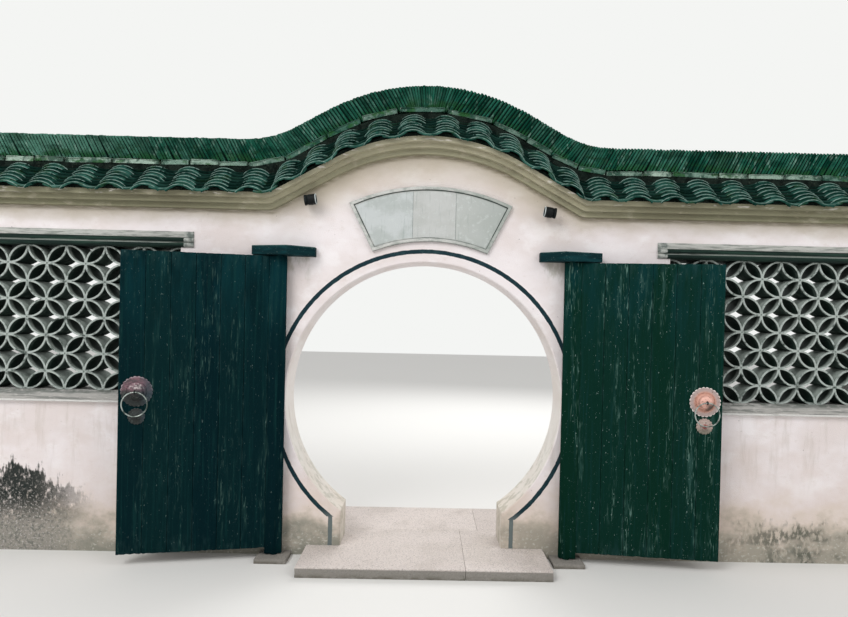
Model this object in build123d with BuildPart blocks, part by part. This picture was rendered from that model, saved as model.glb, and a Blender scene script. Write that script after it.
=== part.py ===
"""Moon gate: a tiled garden wall with a round opening, two lattice windows and a pair of plank leaves.

X runs along the wall, Y through it (the street side is -Y) and Z is up.  The origin is on the
ground under the middle of the round opening, at half the thickness of the wall.
"""

import os
from math import atan2, cos, degrees, hypot, pi, radians, sin, sqrt, tan

from build123d import *

# Wall
wall_thickness = 300
wall_height = 2450
window_head_height = 165
pier_width = 380

# Round opening with its straight passage at the foot
opening_radius = 985
opening_height = 1120
passage_width = 1150
arris = 8

# Roofline that rises over the gate
rise_start = 1100
rise_slope = 29
rise_height = 418
eaves_valley_radius = 120
ridge_valley_radius = 900
wing_start = 1400

# Stepped cornice under the roof
cornice_courses = 3
cornice_course_height = 35
cornice_course_step = 40

# Tiled roof
eaves_reach = 165
eaves_lift = 90
roof_pitch = 40
neck_half_width = 115
neck_top = 315
tile_rows = 30
cover_share = 0.8
cover_crown = 48
cover_flat = 70
pan_lip = 14
pan_floor = 9

# Ridge: a flat slab course with tiles stood on edge above it
slab_course_height = 45
slab_course_half_width = 130
ridge_height = 172
ridge_half_thickness = 85

# Windows of tile lattice
window_inner_edge = 1745
lattice_bay_width = 274.5
lattice_bays = 5
lattice_bay_height = 257
lattice_storeys = 4
tile_sagitta = 39
tile_thickness = 15
lattice_depth = 200
lattice_recess = 30
mortar_reach = 17

# Lintel and sill of each window
lintel_height = 112
lintel_bearing = 92
lintel_roll_radius = 17
lintel_roll_rise = 35
lintel_band_reach = 8
sill_height = 80
sill_reach = 35
sill_bearing = 25
sill_slope_height = 22

# Fan-shaped plaque, midway between the opening and the cornice
plaque_drop = 37
plaque_offset = 24
plaque_height = 390
plaque_top_half_width = 580
plaque_top_rise = 129
plaque_bottom_half_width = 409
plaque_bottom_rise = 79
plaque_border = 32
plaque_frame_depth = 26
plaque_slab_depth = 14
plaque_joints = (-128, 178)
slab_joint = 0.8

# Landing slabs that the jambs stand on
landing_top = 70
landing_left = 815
landing_right = 875
landing_front = 567
landing_back = 227
landing_joint = 300
landing_cross_joint = 130
landing_edge = 6
back_landing_end = 822
back_landing_joint = 440

# Leaves, hung on pivots in front of the wall
pivot_offset = 1030
pivot_reach = 70
leaf_bottom = 80
leaf_height = 2040
leaf_meeting_gap = 6
leaf_thickness = 45
left_leaf_angle = 11.25
right_leaf_angle = 7.5
stile_radius = 55
stile_web = 65
stile_gap = 10
pin_radius = 25
pin_play = 0.4
ledge_count = 4
ledge_height = 90
ledge_thickness = 28
ledge_first = 200
ledge_spacing = 540
ledge_setback = 40
plank_count = 6
plank_joint_width = 5
plank_joint_depth = 4

# Pivot stone below and bracket above each leaf
stone_width = 220
stone_depth = 190
stone_height = 30
socket_depth = 22
bracket_height = 64
bracket_nose = 170
bracket_nose_offset = 70
bracket_inner = (246, 225)
bracket_outer = (187, 201)
bracket_inner_depth = 60
bracket_outer_depth = 100
bracket_gap = 6
bearing_gap = 0.3

# Knocker on each leaf
knocker_from_edge = 117
knocker_height = 1175
brim_radius = 97
brim_thickness = 4
brim_scallops = 24
scallop_reach = 7
boss_rim_radius = 58
boss_rim_height = 14
boss_radius = 44
boss_height = 34
boss_top_radius = 16
boss_top_height = 45
ring_radius = 80
ring_wire = 5.6
ring_flat = 4.4
round_sides = 24
ring_stand = 62
eye_thickness = 9
eye_radius = 14
striker_drop = 167
striker_radius = 50
striker_scallops = 16
striker_boss_radius = 24
striker_boss_height = 14
striker_top_radius = 10
striker_top_height = 30

# Small spotlights beside the plaque, placed over the top of the wings
lamp_radius = 37
lamp_sides = 12
lamp_length = 84
lamp_stand = 75
lamp_arm_width = 18
lamp_base_width = 50
lamp_base_thickness = 8
left_lamp = (-820, 70)
right_lamp = (860, 20)
lamp_tilt = 8

# Worked out from the sizes above
wall_face = wall_thickness / 2
window_width = lattice_bays * lattice_bay_width
window_outer_edge = window_inner_edge + window_width
wall_end = window_outer_edge + pier_width
lintel_top = wall_height - window_head_height
window_top = lintel_top - lintel_height
window_bottom = window_top - lattice_storeys * lattice_bay_height
sill_bottom = window_bottom - sill_height
cornice_height = cornice_courses * cornice_course_height
cornice_reach = cornice_courses * cornice_course_step
roof_base = wall_height + cornice_height
eaves_half_width = wall_face + eaves_reach
bed_half_width = wall_face + cornice_reach
neck_height = wall_height + neck_top
slab_course_top = neck_height + slab_course_height
ridge_top = slab_course_top + ridge_height
pivot_face = wall_face + pivot_reach
leaf_top = leaf_bottom + leaf_height
leaf_length = pivot_offset - leaf_meeting_gap / 2
leaf_face = leaf_thickness / 2
bracket_bottom = leaf_top + bracket_gap

os.makedirs("parts", exist_ok=True)


def finish(piece, name):
    """Name a finished piece and write it out."""
    piece.label = name
    export_step(piece, f"parts/{name}.step")


def roofline(height, valley_radius, half_length):
    """Line at this height that runs level along the wings and rises over the gate."""
    peak = rise_start * tan(radians(rise_slope))
    crown_radius = (peak - rise_height) / (1 / cos(radians(rise_slope)) - 1)
    corners = [
        (-half_length, height),
        (-rise_start, height),
        (0, height + peak),
        (rise_start, height),
        (half_length, height),
    ]
    return FilletPolyline(*corners, radius=[valley_radius, crown_radius, valley_radius])


def course(bottom, top, bottom_valley, top_valley, half_length, at=0):
    """Face between two rooflines, upright and parallel to the wall, at a distance through it."""
    with BuildSketch(Plane.XZ.offset(at)) as face:
        with BuildLine():
            lower = roofline(bottom, bottom_valley, half_length)
            upper = roofline(top, top_valley, half_length)
            Line(lower @ 0, upper @ 0)
            Line(lower @ 1, upper @ 1)
        make_face()
    return face.sketch


# Walls: plastered masonry.  The jambs stand on the landing, the rest on the ground.


def jamb_wall(landing_end):
    """Wall between the opening and a window, up to the opening's middle; the left one."""
    with BuildPart() as jamb:
        with BuildSketch(Plane.XZ):
            with Locations((-window_inner_edge / 2, opening_height / 2)):
                Rectangle(window_inner_edge, opening_height)
            with Locations((0, opening_height)):
                Circle(opening_radius, mode=Mode.SUBTRACT)
            Rectangle(passage_width, 2 * opening_height, mode=Mode.SUBTRACT)
            Rectangle(2 * landing_end, 2 * landing_top, mode=Mode.SUBTRACT)
            with Locations((-window_inner_edge, window_bottom - sill_height / 2)):
                Rectangle(2 * sill_bearing, sill_height, mode=Mode.SUBTRACT)
        extrude(amount=wall_face, both=True)
        faces = jamb.faces()
        fronts = faces.sort_by(Axis.Y)[0].edges() + faces.sort_by(Axis.Y)[-1].edges()
        round_edges = fronts.filter_by(GeomType.CIRCLE)
        upright = fronts.filter_by(Axis.Z).filter_by_position(
            Axis.X, -passage_width / 2 - 1, -passage_width / 2 + 1
        )
        chamfer(round_edges + upright, arris)
    return jamb.part


with BuildPart() as left_jamb_wall:
    add(jamb_wall(landing_left))
finish(left_jamb_wall.part, "left_jamb_wall")

with BuildPart() as right_jamb_wall:
    mirror(jamb_wall(landing_right), about=Plane.YZ)
finish(right_jamb_wall.part, "right_jamb_wall")

with BuildPart() as arch_head_wall:
    with BuildSketch(Plane.XZ):
        with BuildLine():
            top = roofline(wall_height, eaves_valley_radius, window_inner_edge)
            Polyline(
                top @ 0,
                (-window_inner_edge, opening_height),
                (window_inner_edge, opening_height),
                top @ 1,
            )
        make_face()
        with Locations((0, opening_height)):
            Circle(opening_radius, mode=Mode.SUBTRACT)
        with Locations(
            (-window_inner_edge, (window_top + lintel_top) / 2),
            (window_inner_edge, (window_top + lintel_top) / 2),
        ):
            Rectangle(2 * lintel_bearing, lintel_height, mode=Mode.SUBTRACT)
        with Locations(
            (-window_inner_edge, window_bottom - sill_height / 2),
            (window_inner_edge, window_bottom - sill_height / 2),
        ):
            Rectangle(2 * sill_bearing, sill_height, mode=Mode.SUBTRACT)
    extrude(amount=wall_face, both=True)
    outer_faces = arch_head_wall.faces().sort_by(Axis.Y)
    chamfer(
        (outer_faces[0].edges() + outer_faces[-1].edges())
        .filter_by(GeomType.CIRCLE)
        .filter_by(lambda edge: abs(edge.radius - opening_radius) < 1),
        arris,
    )
finish(arch_head_wall.part, "arch_head_wall")

with BuildPart() as left_dado_wall:
    with BuildSketch(Plane.XZ):
        with Locations((-window_inner_edge - window_width / 2, sill_bottom / 2)):
            Rectangle(window_width, sill_bottom)
    extrude(amount=wall_face, both=True)
finish(left_dado_wall.part, "left_dado_wall")

with BuildPart() as left_window_head_wall:
    with BuildSketch(Plane.XZ):
        with Locations((-window_inner_edge - window_width / 2, (lintel_top + wall_height) / 2)):
            Rectangle(window_width, wall_height - lintel_top)
    extrude(amount=wall_face, both=True)
finish(left_window_head_wall.part, "left_window_head_wall")

with BuildPart() as left_end_pier:
    with BuildSketch(Plane.XZ):
        with Locations((-window_outer_edge - pier_width / 2, wall_height / 2)):
            Rectangle(pier_width, wall_height)
        with Locations((-window_outer_edge, (window_top + lintel_top) / 2)):
            Rectangle(2 * lintel_bearing, lintel_height, mode=Mode.SUBTRACT)
        with Locations((-window_outer_edge, window_bottom - sill_height / 2)):
            Rectangle(2 * sill_bearing, sill_height, mode=Mode.SUBTRACT)
    extrude(amount=wall_face, both=True)
finish(left_end_pier.part, "left_end_pier")

# Cornice: plastered brick courses, each stepping out over the one below.

with BuildPart() as left_wing_cornice:
    for step in range(cornice_courses):
        with BuildSketch(Plane.YZ.offset(-wall_end)):
            with Locations((0, wall_height + (step + 0.5) * cornice_course_height)):
                Rectangle(wall_thickness + 2 * (step + 1) * cornice_course_step, cornice_course_height)
        extrude(amount=wall_end - wing_start)
finish(left_wing_cornice.part, "left_wing_cornice")

with BuildPart() as arch_cornice:
    for step in range(cornice_courses):
        course_bottom = wall_height + step * cornice_course_height
        extrude(
            course(
                course_bottom,
                course_bottom + cornice_course_height,
                eaves_valley_radius,
                eaves_valley_radius,
                wing_start,
            ),
            amount=wall_face + (step + 1) * cornice_course_step,
            both=True,
        )
finish(arch_cornice.part, "arch_cornice")

# Roof bed: the masonry core that both roof slopes and the ridge are laid on.


def slope_height(distance):
    """Height of the bed under the tiles at this distance from the middle of the wall."""
    return wall_height + eaves_lift + (eaves_half_width - distance) * tan(radians(roof_pitch))


with BuildPart() as left_wing_roof_bed:
    with BuildSketch(Plane.YZ.offset(-wall_end)):
        Polygon(
            (-bed_half_width, roof_base),
            (bed_half_width, roof_base),
            (bed_half_width, slope_height(bed_half_width)),
            (neck_half_width, slope_height(neck_half_width)),
            (neck_half_width, neck_height),
            (-neck_half_width, neck_height),
            (-neck_half_width, slope_height(neck_half_width)),
            (-bed_half_width, slope_height(bed_half_width)),
            align=None,
        )
    extrude(amount=wall_end - wing_start)
finish(left_wing_roof_bed.part, "left_wing_roof_bed")

with BuildPart() as arch_roof_bed:
    extrude(
        course(roof_base, neck_height, eaves_valley_radius, ridge_valley_radius, wing_start),
        amount=neck_half_width,
        both=True,
    )
    for side in (-1, 1):
        loft(
            [
                course(
                    roof_base,
                    slope_height(distance),
                    eaves_valley_radius,
                    eaves_valley_radius,
                    wing_start,
                    at=side * distance,
                )
                for distance in (neck_half_width, bed_half_width)
            ],
            ruled=True,
        )
finish(arch_roof_bed.part, "arch_roof_bed")

# Tile rows: half-round cover rows with narrow pans between them, laid up both slopes.


def tile_profile():
    """Wavy upright face of one slope's tiles along the whole wall, at the eaves."""
    eaves = wall_height + eaves_lift
    with BuildSketch(Plane.XZ.offset(eaves_half_width)) as face:
        with BuildLine():
            bed_line = roofline(eaves, eaves_valley_radius, wall_end)
            pitch = bed_line.length / tile_rows
            pan_half = pitch * (1 - cover_share) / 2

            def above(distance, lift):
                """Point over the bed line, square to it."""
                spot = bed_line.position_at(distance / bed_line.length)
                along = bed_line.tangent_at(distance / bed_line.length)
                return spot + Vector(-along.Y, along.X, 0) * lift

            Line(bed_line @ 0, above(0, pan_floor))
            Line(bed_line @ 1, above(bed_line.length, pan_floor))
            for row in range(tile_rows):
                start = row * pitch
                cover_start = above(start + pan_half, pan_lip)
                cover_end = above(start + pitch - pan_half, pan_lip)
                Polyline(
                    above(start, pan_floor),
                    cover_start,
                    above(start + pitch / 2 - cover_flat / 2, cover_crown),
                    above(start + pitch / 2 + cover_flat / 2, cover_crown),
                    cover_end,
                    above(start + pitch, pan_floor),
                )
        make_face()
    return face.sketch


slope_run = eaves_half_width - neck_half_width
slope_length = slope_run / cos(radians(roof_pitch))

with BuildPart() as front_tile_rows:
    extrude(
        tile_profile(),
        amount=slope_length,
        dir=(0, cos(radians(roof_pitch)), sin(radians(roof_pitch))),
    )
finish(front_tile_rows.part, "front_tile_rows")

with BuildPart() as back_tile_rows:
    mirror(front_tile_rows.part, about=Plane.XZ)
finish(back_tile_rows.part, "back_tile_rows")

# Ridge: the slab course and the row of tiles stood on edge.

with BuildPart() as ridge_slab_course:
    extrude(
        course(neck_height, slab_course_top, ridge_valley_radius, ridge_valley_radius, wall_end),
        amount=slab_course_half_width,
        both=True,
    )
finish(ridge_slab_course.part, "ridge_slab_course")

with BuildPart() as ridge:
    extrude(
        course(slab_course_top, ridge_top, ridge_valley_radius, ridge_valley_radius, wall_end),
        amount=ridge_half_thickness,
        both=True,
    )
finish(ridge.part, "ridge")

# Windows: a lintel and a sill built into the wall, and a lattice of curved tiles between them.

lintel_length = window_width + 2 * lintel_bearing

with BuildPart() as left_window_lintel:
    with BuildSketch(Plane.YZ.offset(-window_outer_edge - lintel_bearing)):
        with Locations((0, (window_top + lintel_top) / 2)):
            Rectangle(wall_thickness, lintel_height)
        roll_heights = (
            window_top + lintel_roll_radius,
            window_top + lintel_roll_radius + lintel_roll_rise,
        )
        with Locations(*[(side * wall_face, z) for side in (-1, 1) for z in roll_heights]):
            Circle(lintel_roll_radius)
        band_bottom = window_top + 2 * lintel_roll_rise
        with Locations((0, (band_bottom + lintel_top) / 2)):
            Rectangle(wall_thickness + 2 * lintel_band_reach, lintel_top - band_bottom)
    extrude(amount=lintel_length)
finish(left_window_lintel.part, "left_window_lintel")

with BuildPart() as left_window_sill:
    with BuildSketch(Plane.YZ.offset(-window_outer_edge - sill_bearing)):
        Polygon(
            (-wall_face - sill_reach, sill_bottom),
            (wall_face + sill_reach, sill_bottom),
            (wall_face + sill_reach, window_bottom - sill_slope_height),
            (wall_face, window_bottom),
            (-wall_face, window_bottom),
            (-wall_face - sill_reach, window_bottom - sill_slope_height),
            align=None,
        )
    extrude(amount=window_width + 2 * sill_bearing)
finish(left_window_sill.part, "left_window_sill")

half_chord = hypot(lattice_bay_width, lattice_bay_height) / 4
arc_radius = (half_chord**2 + tile_sagitta**2) / (2 * tile_sagitta)
petal_tilt = degrees(atan2(lattice_bay_height, lattice_bay_width))


def petal_hole():
    """Corners of the opening between the two tiles of a petal, on its own chord."""
    tip = half_chord - mortar_reach
    width = tile_sagitta - tile_thickness / 2
    return [(-tip, 0), (0, width), (tip, 0), (0, -width)]


def star_hole():
    """Corners of the opening between four petals, about its own middle."""
    half_width = lattice_bay_width / 2
    half_height = lattice_bay_height / 2
    tip = sqrt(arc_radius**2 - (arc_radius - tile_thickness / 2) ** 2)
    width = tile_sagitta + tile_thickness / 2
    side_x = half_width / 2 - half_height / (2 * half_chord) * width
    side_y = half_height / 2 - half_width / (2 * half_chord) * width
    return [
        (half_width - tip, 0),
        (side_x, side_y),
        (0, half_height - tip),
        (-side_x, side_y),
        (tip - half_width, 0),
        (-side_x, -side_y),
        (0, tip - half_height),
        (side_x, -side_y),
    ]


window_corner = (-window_outer_edge, window_bottom)
bay_columns = range(2 * lattice_bays)
bay_rows = range(2 * lattice_storeys)
rising_petals = []
falling_petals = []
for column in bay_columns:
    for row in bay_rows:
        middle = (
            window_corner[0] + (column + 0.5) * lattice_bay_width / 2,
            window_corner[1] + (row + 0.5) * lattice_bay_height / 2,
        )
        (rising_petals if (column + row) % 2 == 0 else falling_petals).append(middle)
star_middles = [
    (
        window_corner[0] + column * lattice_bay_width / 2,
        window_corner[1] + row * lattice_bay_height / 2,
    )
    for column in range(2 * lattice_bays + 1)
    for row in range(2 * lattice_storeys + 1)
    if (column + row) % 2 == 1
]

with BuildPart() as left_window_lattice:
    with BuildSketch(Plane.XZ.offset(wall_face - lattice_recess)):
        with Locations((-window_inner_edge - window_width / 2, (window_bottom + window_top) / 2)):
            Rectangle(window_width, window_top - window_bottom)
        with Locations(*rising_petals):
            Polygon(*petal_hole(), rotation=petal_tilt, align=None, mode=Mode.SUBTRACT)
        with Locations(*falling_petals):
            Polygon(*petal_hole(), rotation=-petal_tilt, align=None, mode=Mode.SUBTRACT)
        with Locations(*star_middles):
            Polygon(*star_hole(), align=None, mode=Mode.SUBTRACT)
    extrude(amount=-lattice_depth)
finish(left_window_lattice.part, "left_window_lattice")

# The right wing mirrors the left one.

for name, left_piece in {
    "right_dado_wall": left_dado_wall,
    "right_window_head_wall": left_window_head_wall,
    "right_end_pier": left_end_pier,
    "right_wing_cornice": left_wing_cornice,
    "right_wing_roof_bed": left_wing_roof_bed,
    "right_window_lintel": left_window_lintel,
    "right_window_sill": left_window_sill,
    "right_window_lattice": left_window_lattice,
}.items():
    with BuildPart() as right_piece:
        mirror(left_piece.part, about=Plane.YZ)
    finish(right_piece.part, name)

# Plaque: a raised border around three stone slabs, set on the street face over the opening.

opening_crown = opening_height + opening_radius
plaque_middle = (opening_crown + wall_height + rise_height) / 2 - plaque_drop
plaque_top = plaque_middle + plaque_height / 2
plaque_bottom = plaque_middle - plaque_height / 2

with BuildSketch(Plane.XZ.offset(wall_face)) as fan:
    with BuildLine():
        top_arc = ThreePointArc(
            (plaque_offset - plaque_top_half_width, plaque_top - plaque_top_rise),
            (plaque_offset, plaque_top),
            (plaque_offset + plaque_top_half_width, plaque_top - plaque_top_rise),
        )
        bottom_arc = ThreePointArc(
            (plaque_offset - plaque_bottom_half_width, plaque_bottom - plaque_bottom_rise),
            (plaque_offset, plaque_bottom),
            (plaque_offset + plaque_bottom_half_width, plaque_bottom - plaque_bottom_rise),
        )
        Line(top_arc @ 0, bottom_arc @ 0)
        Line(top_arc @ 1, bottom_arc @ 1)
    make_face()

with BuildSketch(Plane.XZ.offset(wall_face)) as fan_field:
    add(fan.sketch)
    offset(amount=-plaque_border, kind=Kind.INTERSECTION, mode=Mode.REPLACE)

with BuildPart() as plaque_frame:
    extrude(fan.sketch, amount=plaque_frame_depth)
    extrude(fan_field.sketch, amount=plaque_frame_depth, mode=Mode.SUBTRACT)
finish(plaque_frame.part, "plaque_frame")

with BuildPart() as plaque_slabs:
    extrude(fan_field.sketch, amount=plaque_slab_depth)
    with BuildSketch(Plane.XZ.offset(wall_face)):
        with Locations(*[(plaque_offset + x, plaque_middle) for x in plaque_joints]):
            Rectangle(slab_joint, 2 * plaque_height)
    extrude(amount=plaque_slab_depth, mode=Mode.SUBTRACT)
finish(plaque_slabs.part, "plaque_slabs")

# Landings: cut stone slabs under and in front of the jambs, and a second pair behind them.


def landing_slab(x_from, x_to, y_from, y_to):
    """One slab on the ground with its top arrises eased."""
    with BuildPart() as slab:
        with BuildSketch(Plane.XY):
            with Locations(((x_from + x_to) / 2, (y_from + y_to) / 2)):
                Rectangle(x_to - x_from, y_to - y_from)
        extrude(amount=landing_top)
        chamfer(slab.edges().group_by(Axis.Z)[-1].sort_by(Axis.Y)[0], landing_edge)
    return slab.part


with BuildPart() as front_landing_slabs:
    add(landing_slab(-landing_left, landing_joint, -landing_front, landing_back))
    add(landing_slab(landing_joint + slab_joint, landing_right, -landing_front, -landing_cross_joint))
    add(
        landing_slab(
            landing_joint + slab_joint,
            landing_right,
            -landing_cross_joint + slab_joint,
            landing_back,
        )
    )
finish(front_landing_slabs.part, "front_landing_slabs")

with BuildPart() as back_landing_slabs:
    back_start = landing_back + slab_joint
    add(landing_slab(-landing_left, back_landing_joint, back_start, back_landing_end))
    add(landing_slab(back_landing_joint + slab_joint, landing_right, back_start, back_landing_end))
finish(back_landing_slabs.part, "back_landing_slabs")

# Pivot stones and brackets that carry the leaves, one of each on both sides.

pin_bottom = stone_height - socket_depth + bearing_gap
stile_bottom = stone_height + stile_gap
pivot = (-pivot_offset, -pivot_face)

with BuildPart() as left_pivot_stone:
    with BuildSketch(Plane.XY):
        with Locations((-pivot_offset, -wall_face - stone_depth / 2)):
            Rectangle(stone_width, stone_depth)
    extrude(amount=stone_height)
    with BuildSketch(Plane.XY.offset(stone_height - socket_depth)):
        with Locations(pivot):
            Circle(pin_radius + pin_play)
    extrude(amount=socket_depth, mode=Mode.SUBTRACT)
finish(left_pivot_stone.part, "left_pivot_stone")

with BuildPart() as right_pivot_stone:
    mirror(left_pivot_stone.part, about=Plane.YZ)
finish(right_pivot_stone.part, "right_pivot_stone")


def top_bracket(inner, outer):
    """Block on the wall face with a hole for the top pin; the left one."""
    with BuildPart() as bracket:
        with BuildSketch(Plane.XY.offset(bracket_bottom)):
            Polygon(
                (-pivot_offset - outer, -wall_face),
                (-pivot_offset - outer, -wall_face - bracket_outer_depth),
                (-pivot_offset + bracket_nose_offset, -wall_face - bracket_nose),
                (-pivot_offset + inner, -wall_face - bracket_inner_depth),
                (-pivot_offset + inner, -wall_face),
                align=None,
            )
            with Locations(pivot):
                Circle(pin_radius + pin_play, mode=Mode.SUBTRACT)
        extrude(amount=bracket_height)
    return bracket.part


with BuildPart() as left_top_bracket:
    add(top_bracket(bracket_inner[0], bracket_outer[0]))
finish(left_top_bracket.part, "left_top_bracket")

with BuildPart() as right_top_bracket:
    mirror(top_bracket(bracket_inner[1], bracket_outer[1]), about=Plane.YZ)
finish(right_top_bracket.part, "right_top_bracket")

# Leaf: modelled with its pivot on the Z axis, reaching along -X, its knocker on the -Y face.

pin_top = bracket_bottom + bracket_height

with BuildPart() as pivot_stile:
    with BuildSketch(Plane.XY.offset(stile_bottom)):
        Circle(stile_radius)
        with Locations((0, -leaf_face)):
            Rectangle(2 * stile_radius, stile_radius, align=(Align.CENTER, Align.MAX), mode=Mode.SUBTRACT)
        with Locations((-stile_web / 2, 0)):
            Rectangle(stile_web, leaf_thickness)
    extrude(amount=leaf_top - stile_bottom)
    with BuildSketch(Plane.XY.offset(pin_bottom)):
        Circle(pin_radius)
    extrude(amount=pin_top - pin_bottom)

with BuildPart() as boards:
    with BuildSketch(Plane.XY.offset(leaf_bottom)):
        with Locations((-(stile_web + leaf_length) / 2, 0)):
            Rectangle(leaf_length - stile_web, leaf_thickness)
        for joint in range(1, plank_count):
            joint_x = -stile_web - (leaf_length - stile_web) * joint / plank_count
            for face in (-leaf_face, leaf_face):
                with Locations((joint_x, face)):
                    Rectangle(plank_joint_width, 2 * plank_joint_depth, mode=Mode.SUBTRACT)
    extrude(amount=leaf_height)

with BuildPart() as ledges:
    with BuildSketch(Plane.XZ.offset(-leaf_face)):
        for ledge in range(ledge_count):
            ledge_middle = leaf_bottom + ledge_first + ledge * ledge_spacing
            with Locations((-(stile_web + leaf_length - ledge_setback) / 2, ledge_middle)):
                Rectangle(leaf_length - ledge_setback - stile_web, ledge_height)
    extrude(amount=-ledge_thickness)

# Knocker: a scalloped plate that rises to a boss with an eye, a striker below, and a ring.

knocker_x = -leaf_length + knocker_from_edge
striker_z = knocker_height - striker_drop
eye_root = boss_top_height - eye_radius
eye_bore = hypot(ring_wire, ring_flat / 2) + pin_play


def scalloped_brim(radius, scallops):
    """Draw a round plate with a rim of small scallops in the current sketch."""
    for scallop in range(scallops):
        turn = 360 / scallops * scallop
        half_turn = 180 / scallops
        notches = [
            (radius * cos(radians(turn + side * half_turn)), radius * sin(radians(turn + side * half_turn)))
            for side in (-1, 1)
        ]
        crown = [
            ((radius + scallop_reach) * cos(radians(turn + side * half_turn / 2)),
             (radius + scallop_reach) * sin(radians(turn + side * half_turn / 2)))
            for side in (-1, 1)
        ]
        Polygon((0, 0), notches[0], *crown, notches[1], align=None)


def many_sided(height, radius, middle_z):
    """Round outline drawn with flat sides, this high off the face of the leaf."""
    with BuildSketch(Plane.XZ.offset(leaf_face + height)) as outline:
        with Locations((knocker_x, middle_z)):
            RegularPolygon(radius, round_sides, major_radius=False, rotation=180 / round_sides)
    return outline.sketch


def flared_step(low, wide, high, narrow, middle_z):
    """Many-sided block that narrows from its foot to its top."""
    with BuildPart() as block:
        extrude(many_sided(low, wide, middle_z), amount=high - low)
        sides = block.faces().filter_by(Axis.Y, reverse=True)
        draft(sides, Plane.XZ.offset(leaf_face + low), degrees(atan2(wide - narrow, high - low)))
    return block.part


with BuildPart() as knocker_plates:
    with BuildSketch(Plane.XZ.offset(leaf_face)):
        with Locations((knocker_x, knocker_height)):
            scalloped_brim(brim_radius, brim_scallops)
        with Locations((knocker_x, striker_z)):
            scalloped_brim(striker_radius, striker_scallops)
    extrude(amount=brim_thickness)
    brim_apothem = brim_radius * cos(pi / round_sides)
    striker_apothem = striker_radius * cos(pi / striker_scallops)
    add(flared_step(brim_thickness, brim_apothem, boss_rim_height, boss_rim_radius, knocker_height))
    add(flared_step(boss_rim_height, boss_rim_radius, boss_height, boss_radius, knocker_height))
    add(flared_step(boss_height, boss_radius, boss_top_height, boss_top_radius, knocker_height))
    add(flared_step(brim_thickness, striker_apothem, striker_boss_height, striker_boss_radius, striker_z))
    add(
        flared_step(
            striker_boss_height,
            striker_boss_radius,
            striker_top_height,
            striker_top_radius,
            striker_z,
        )
    )
    with BuildSketch(Plane.YZ.offset(knocker_x)):
        with Locations((-leaf_face - ring_stand, knocker_height)):
            RegularPolygon(eye_radius, round_sides)
        with Locations((-leaf_face - (ring_stand + eye_root) / 2, knocker_height)):
            Rectangle(ring_stand - eye_root, 2 * eye_radius)
        with Locations((-leaf_face - ring_stand, knocker_height)):
            RegularPolygon(eye_bore, round_sides, major_radius=False, mode=Mode.SUBTRACT)
    extrude(amount=eye_thickness / 2, both=True)

with BuildPart() as knocker_ring:
    ring_z = knocker_height - ring_radius
    for reach, mode in ((1, Mode.ADD), (-1, Mode.SUBTRACT)):
        loft(
            [
                many_sided(ring_stand + lift, ring_radius + reach * half_width, ring_z)
                for lift, half_width in (
                    (-ring_wire, ring_flat / 2),
                    (-ring_flat / 2, ring_wire),
                    (ring_flat / 2, ring_wire),
                    (ring_wire, ring_flat / 2),
                )
            ],
            ruled=True,
            mode=mode,
        )

# Both leaves hang on their pivots, folded back against the wall.

leaf_pieces = {
    "pivot_stile": pivot_stile,
    "leaf_boards": boards,
    "leaf_ledges": ledges,
    "knocker_plates": knocker_plates,
    "knocker_ring": knocker_ring,
}
for name, piece in leaf_pieces.items():
    with BuildPart() as left_leaf_piece:
        add(Location((-pivot_offset, -pivot_face, 0), (0, 0, left_leaf_angle)) * piece.part)
    finish(left_leaf_piece.part, f"left_{name}")
    with BuildPart() as right_leaf_piece:
        hung_piece = Location((-pivot_offset, -pivot_face, 0), (0, 0, right_leaf_angle)) * piece.part
        mirror(hung_piece, about=Plane.YZ)
    finish(right_leaf_piece.part, f"right_{name}")

# Spotlights: a short can on an arm and a wall plate, aimed along the wall at the plaque.


def spotlight(x, lift, aim):
    """Can that points towards +X when aim is 1 and towards -X when it is -1."""
    z = wall_height + lift
    tilt = radians(lamp_tilt)
    can_plane = Plane(
        origin=(x - aim * lamp_length / 2 * cos(tilt), -wall_face - lamp_stand, z - lamp_length / 2 * sin(tilt)),
        z_dir=(aim * cos(tilt), 0, sin(tilt)),
    )
    with BuildPart() as lamp:
        for width, reach in ((lamp_base_width, lamp_base_thickness), (lamp_arm_width, lamp_stand)):
            with BuildSketch(Plane.XZ.offset(wall_face)):
                with Locations((x, z)):
                    Rectangle(width, width)
            extrude(amount=reach)
        with BuildSketch(can_plane):
            RegularPolygon(lamp_radius, lamp_sides)
        extrude(amount=lamp_length)
    return lamp.part


with BuildPart() as left_spotlight:
    add(spotlight(*left_lamp, 1))
finish(left_spotlight.part, "left_spotlight")

with BuildPart() as right_spotlight:
    add(spotlight(*right_lamp, -1))
finish(right_spotlight.part, "right_spotlight")
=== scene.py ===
"""Moon gate: the finish of a tiled garden wall with a round opening, lattice windows and two leaves."""
import random
from math import asin, atan2, cos, hypot, pi, radians, sin, sqrt, tan

import bmesh
import bpy
from mathutils import Matrix, Vector, noise


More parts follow.
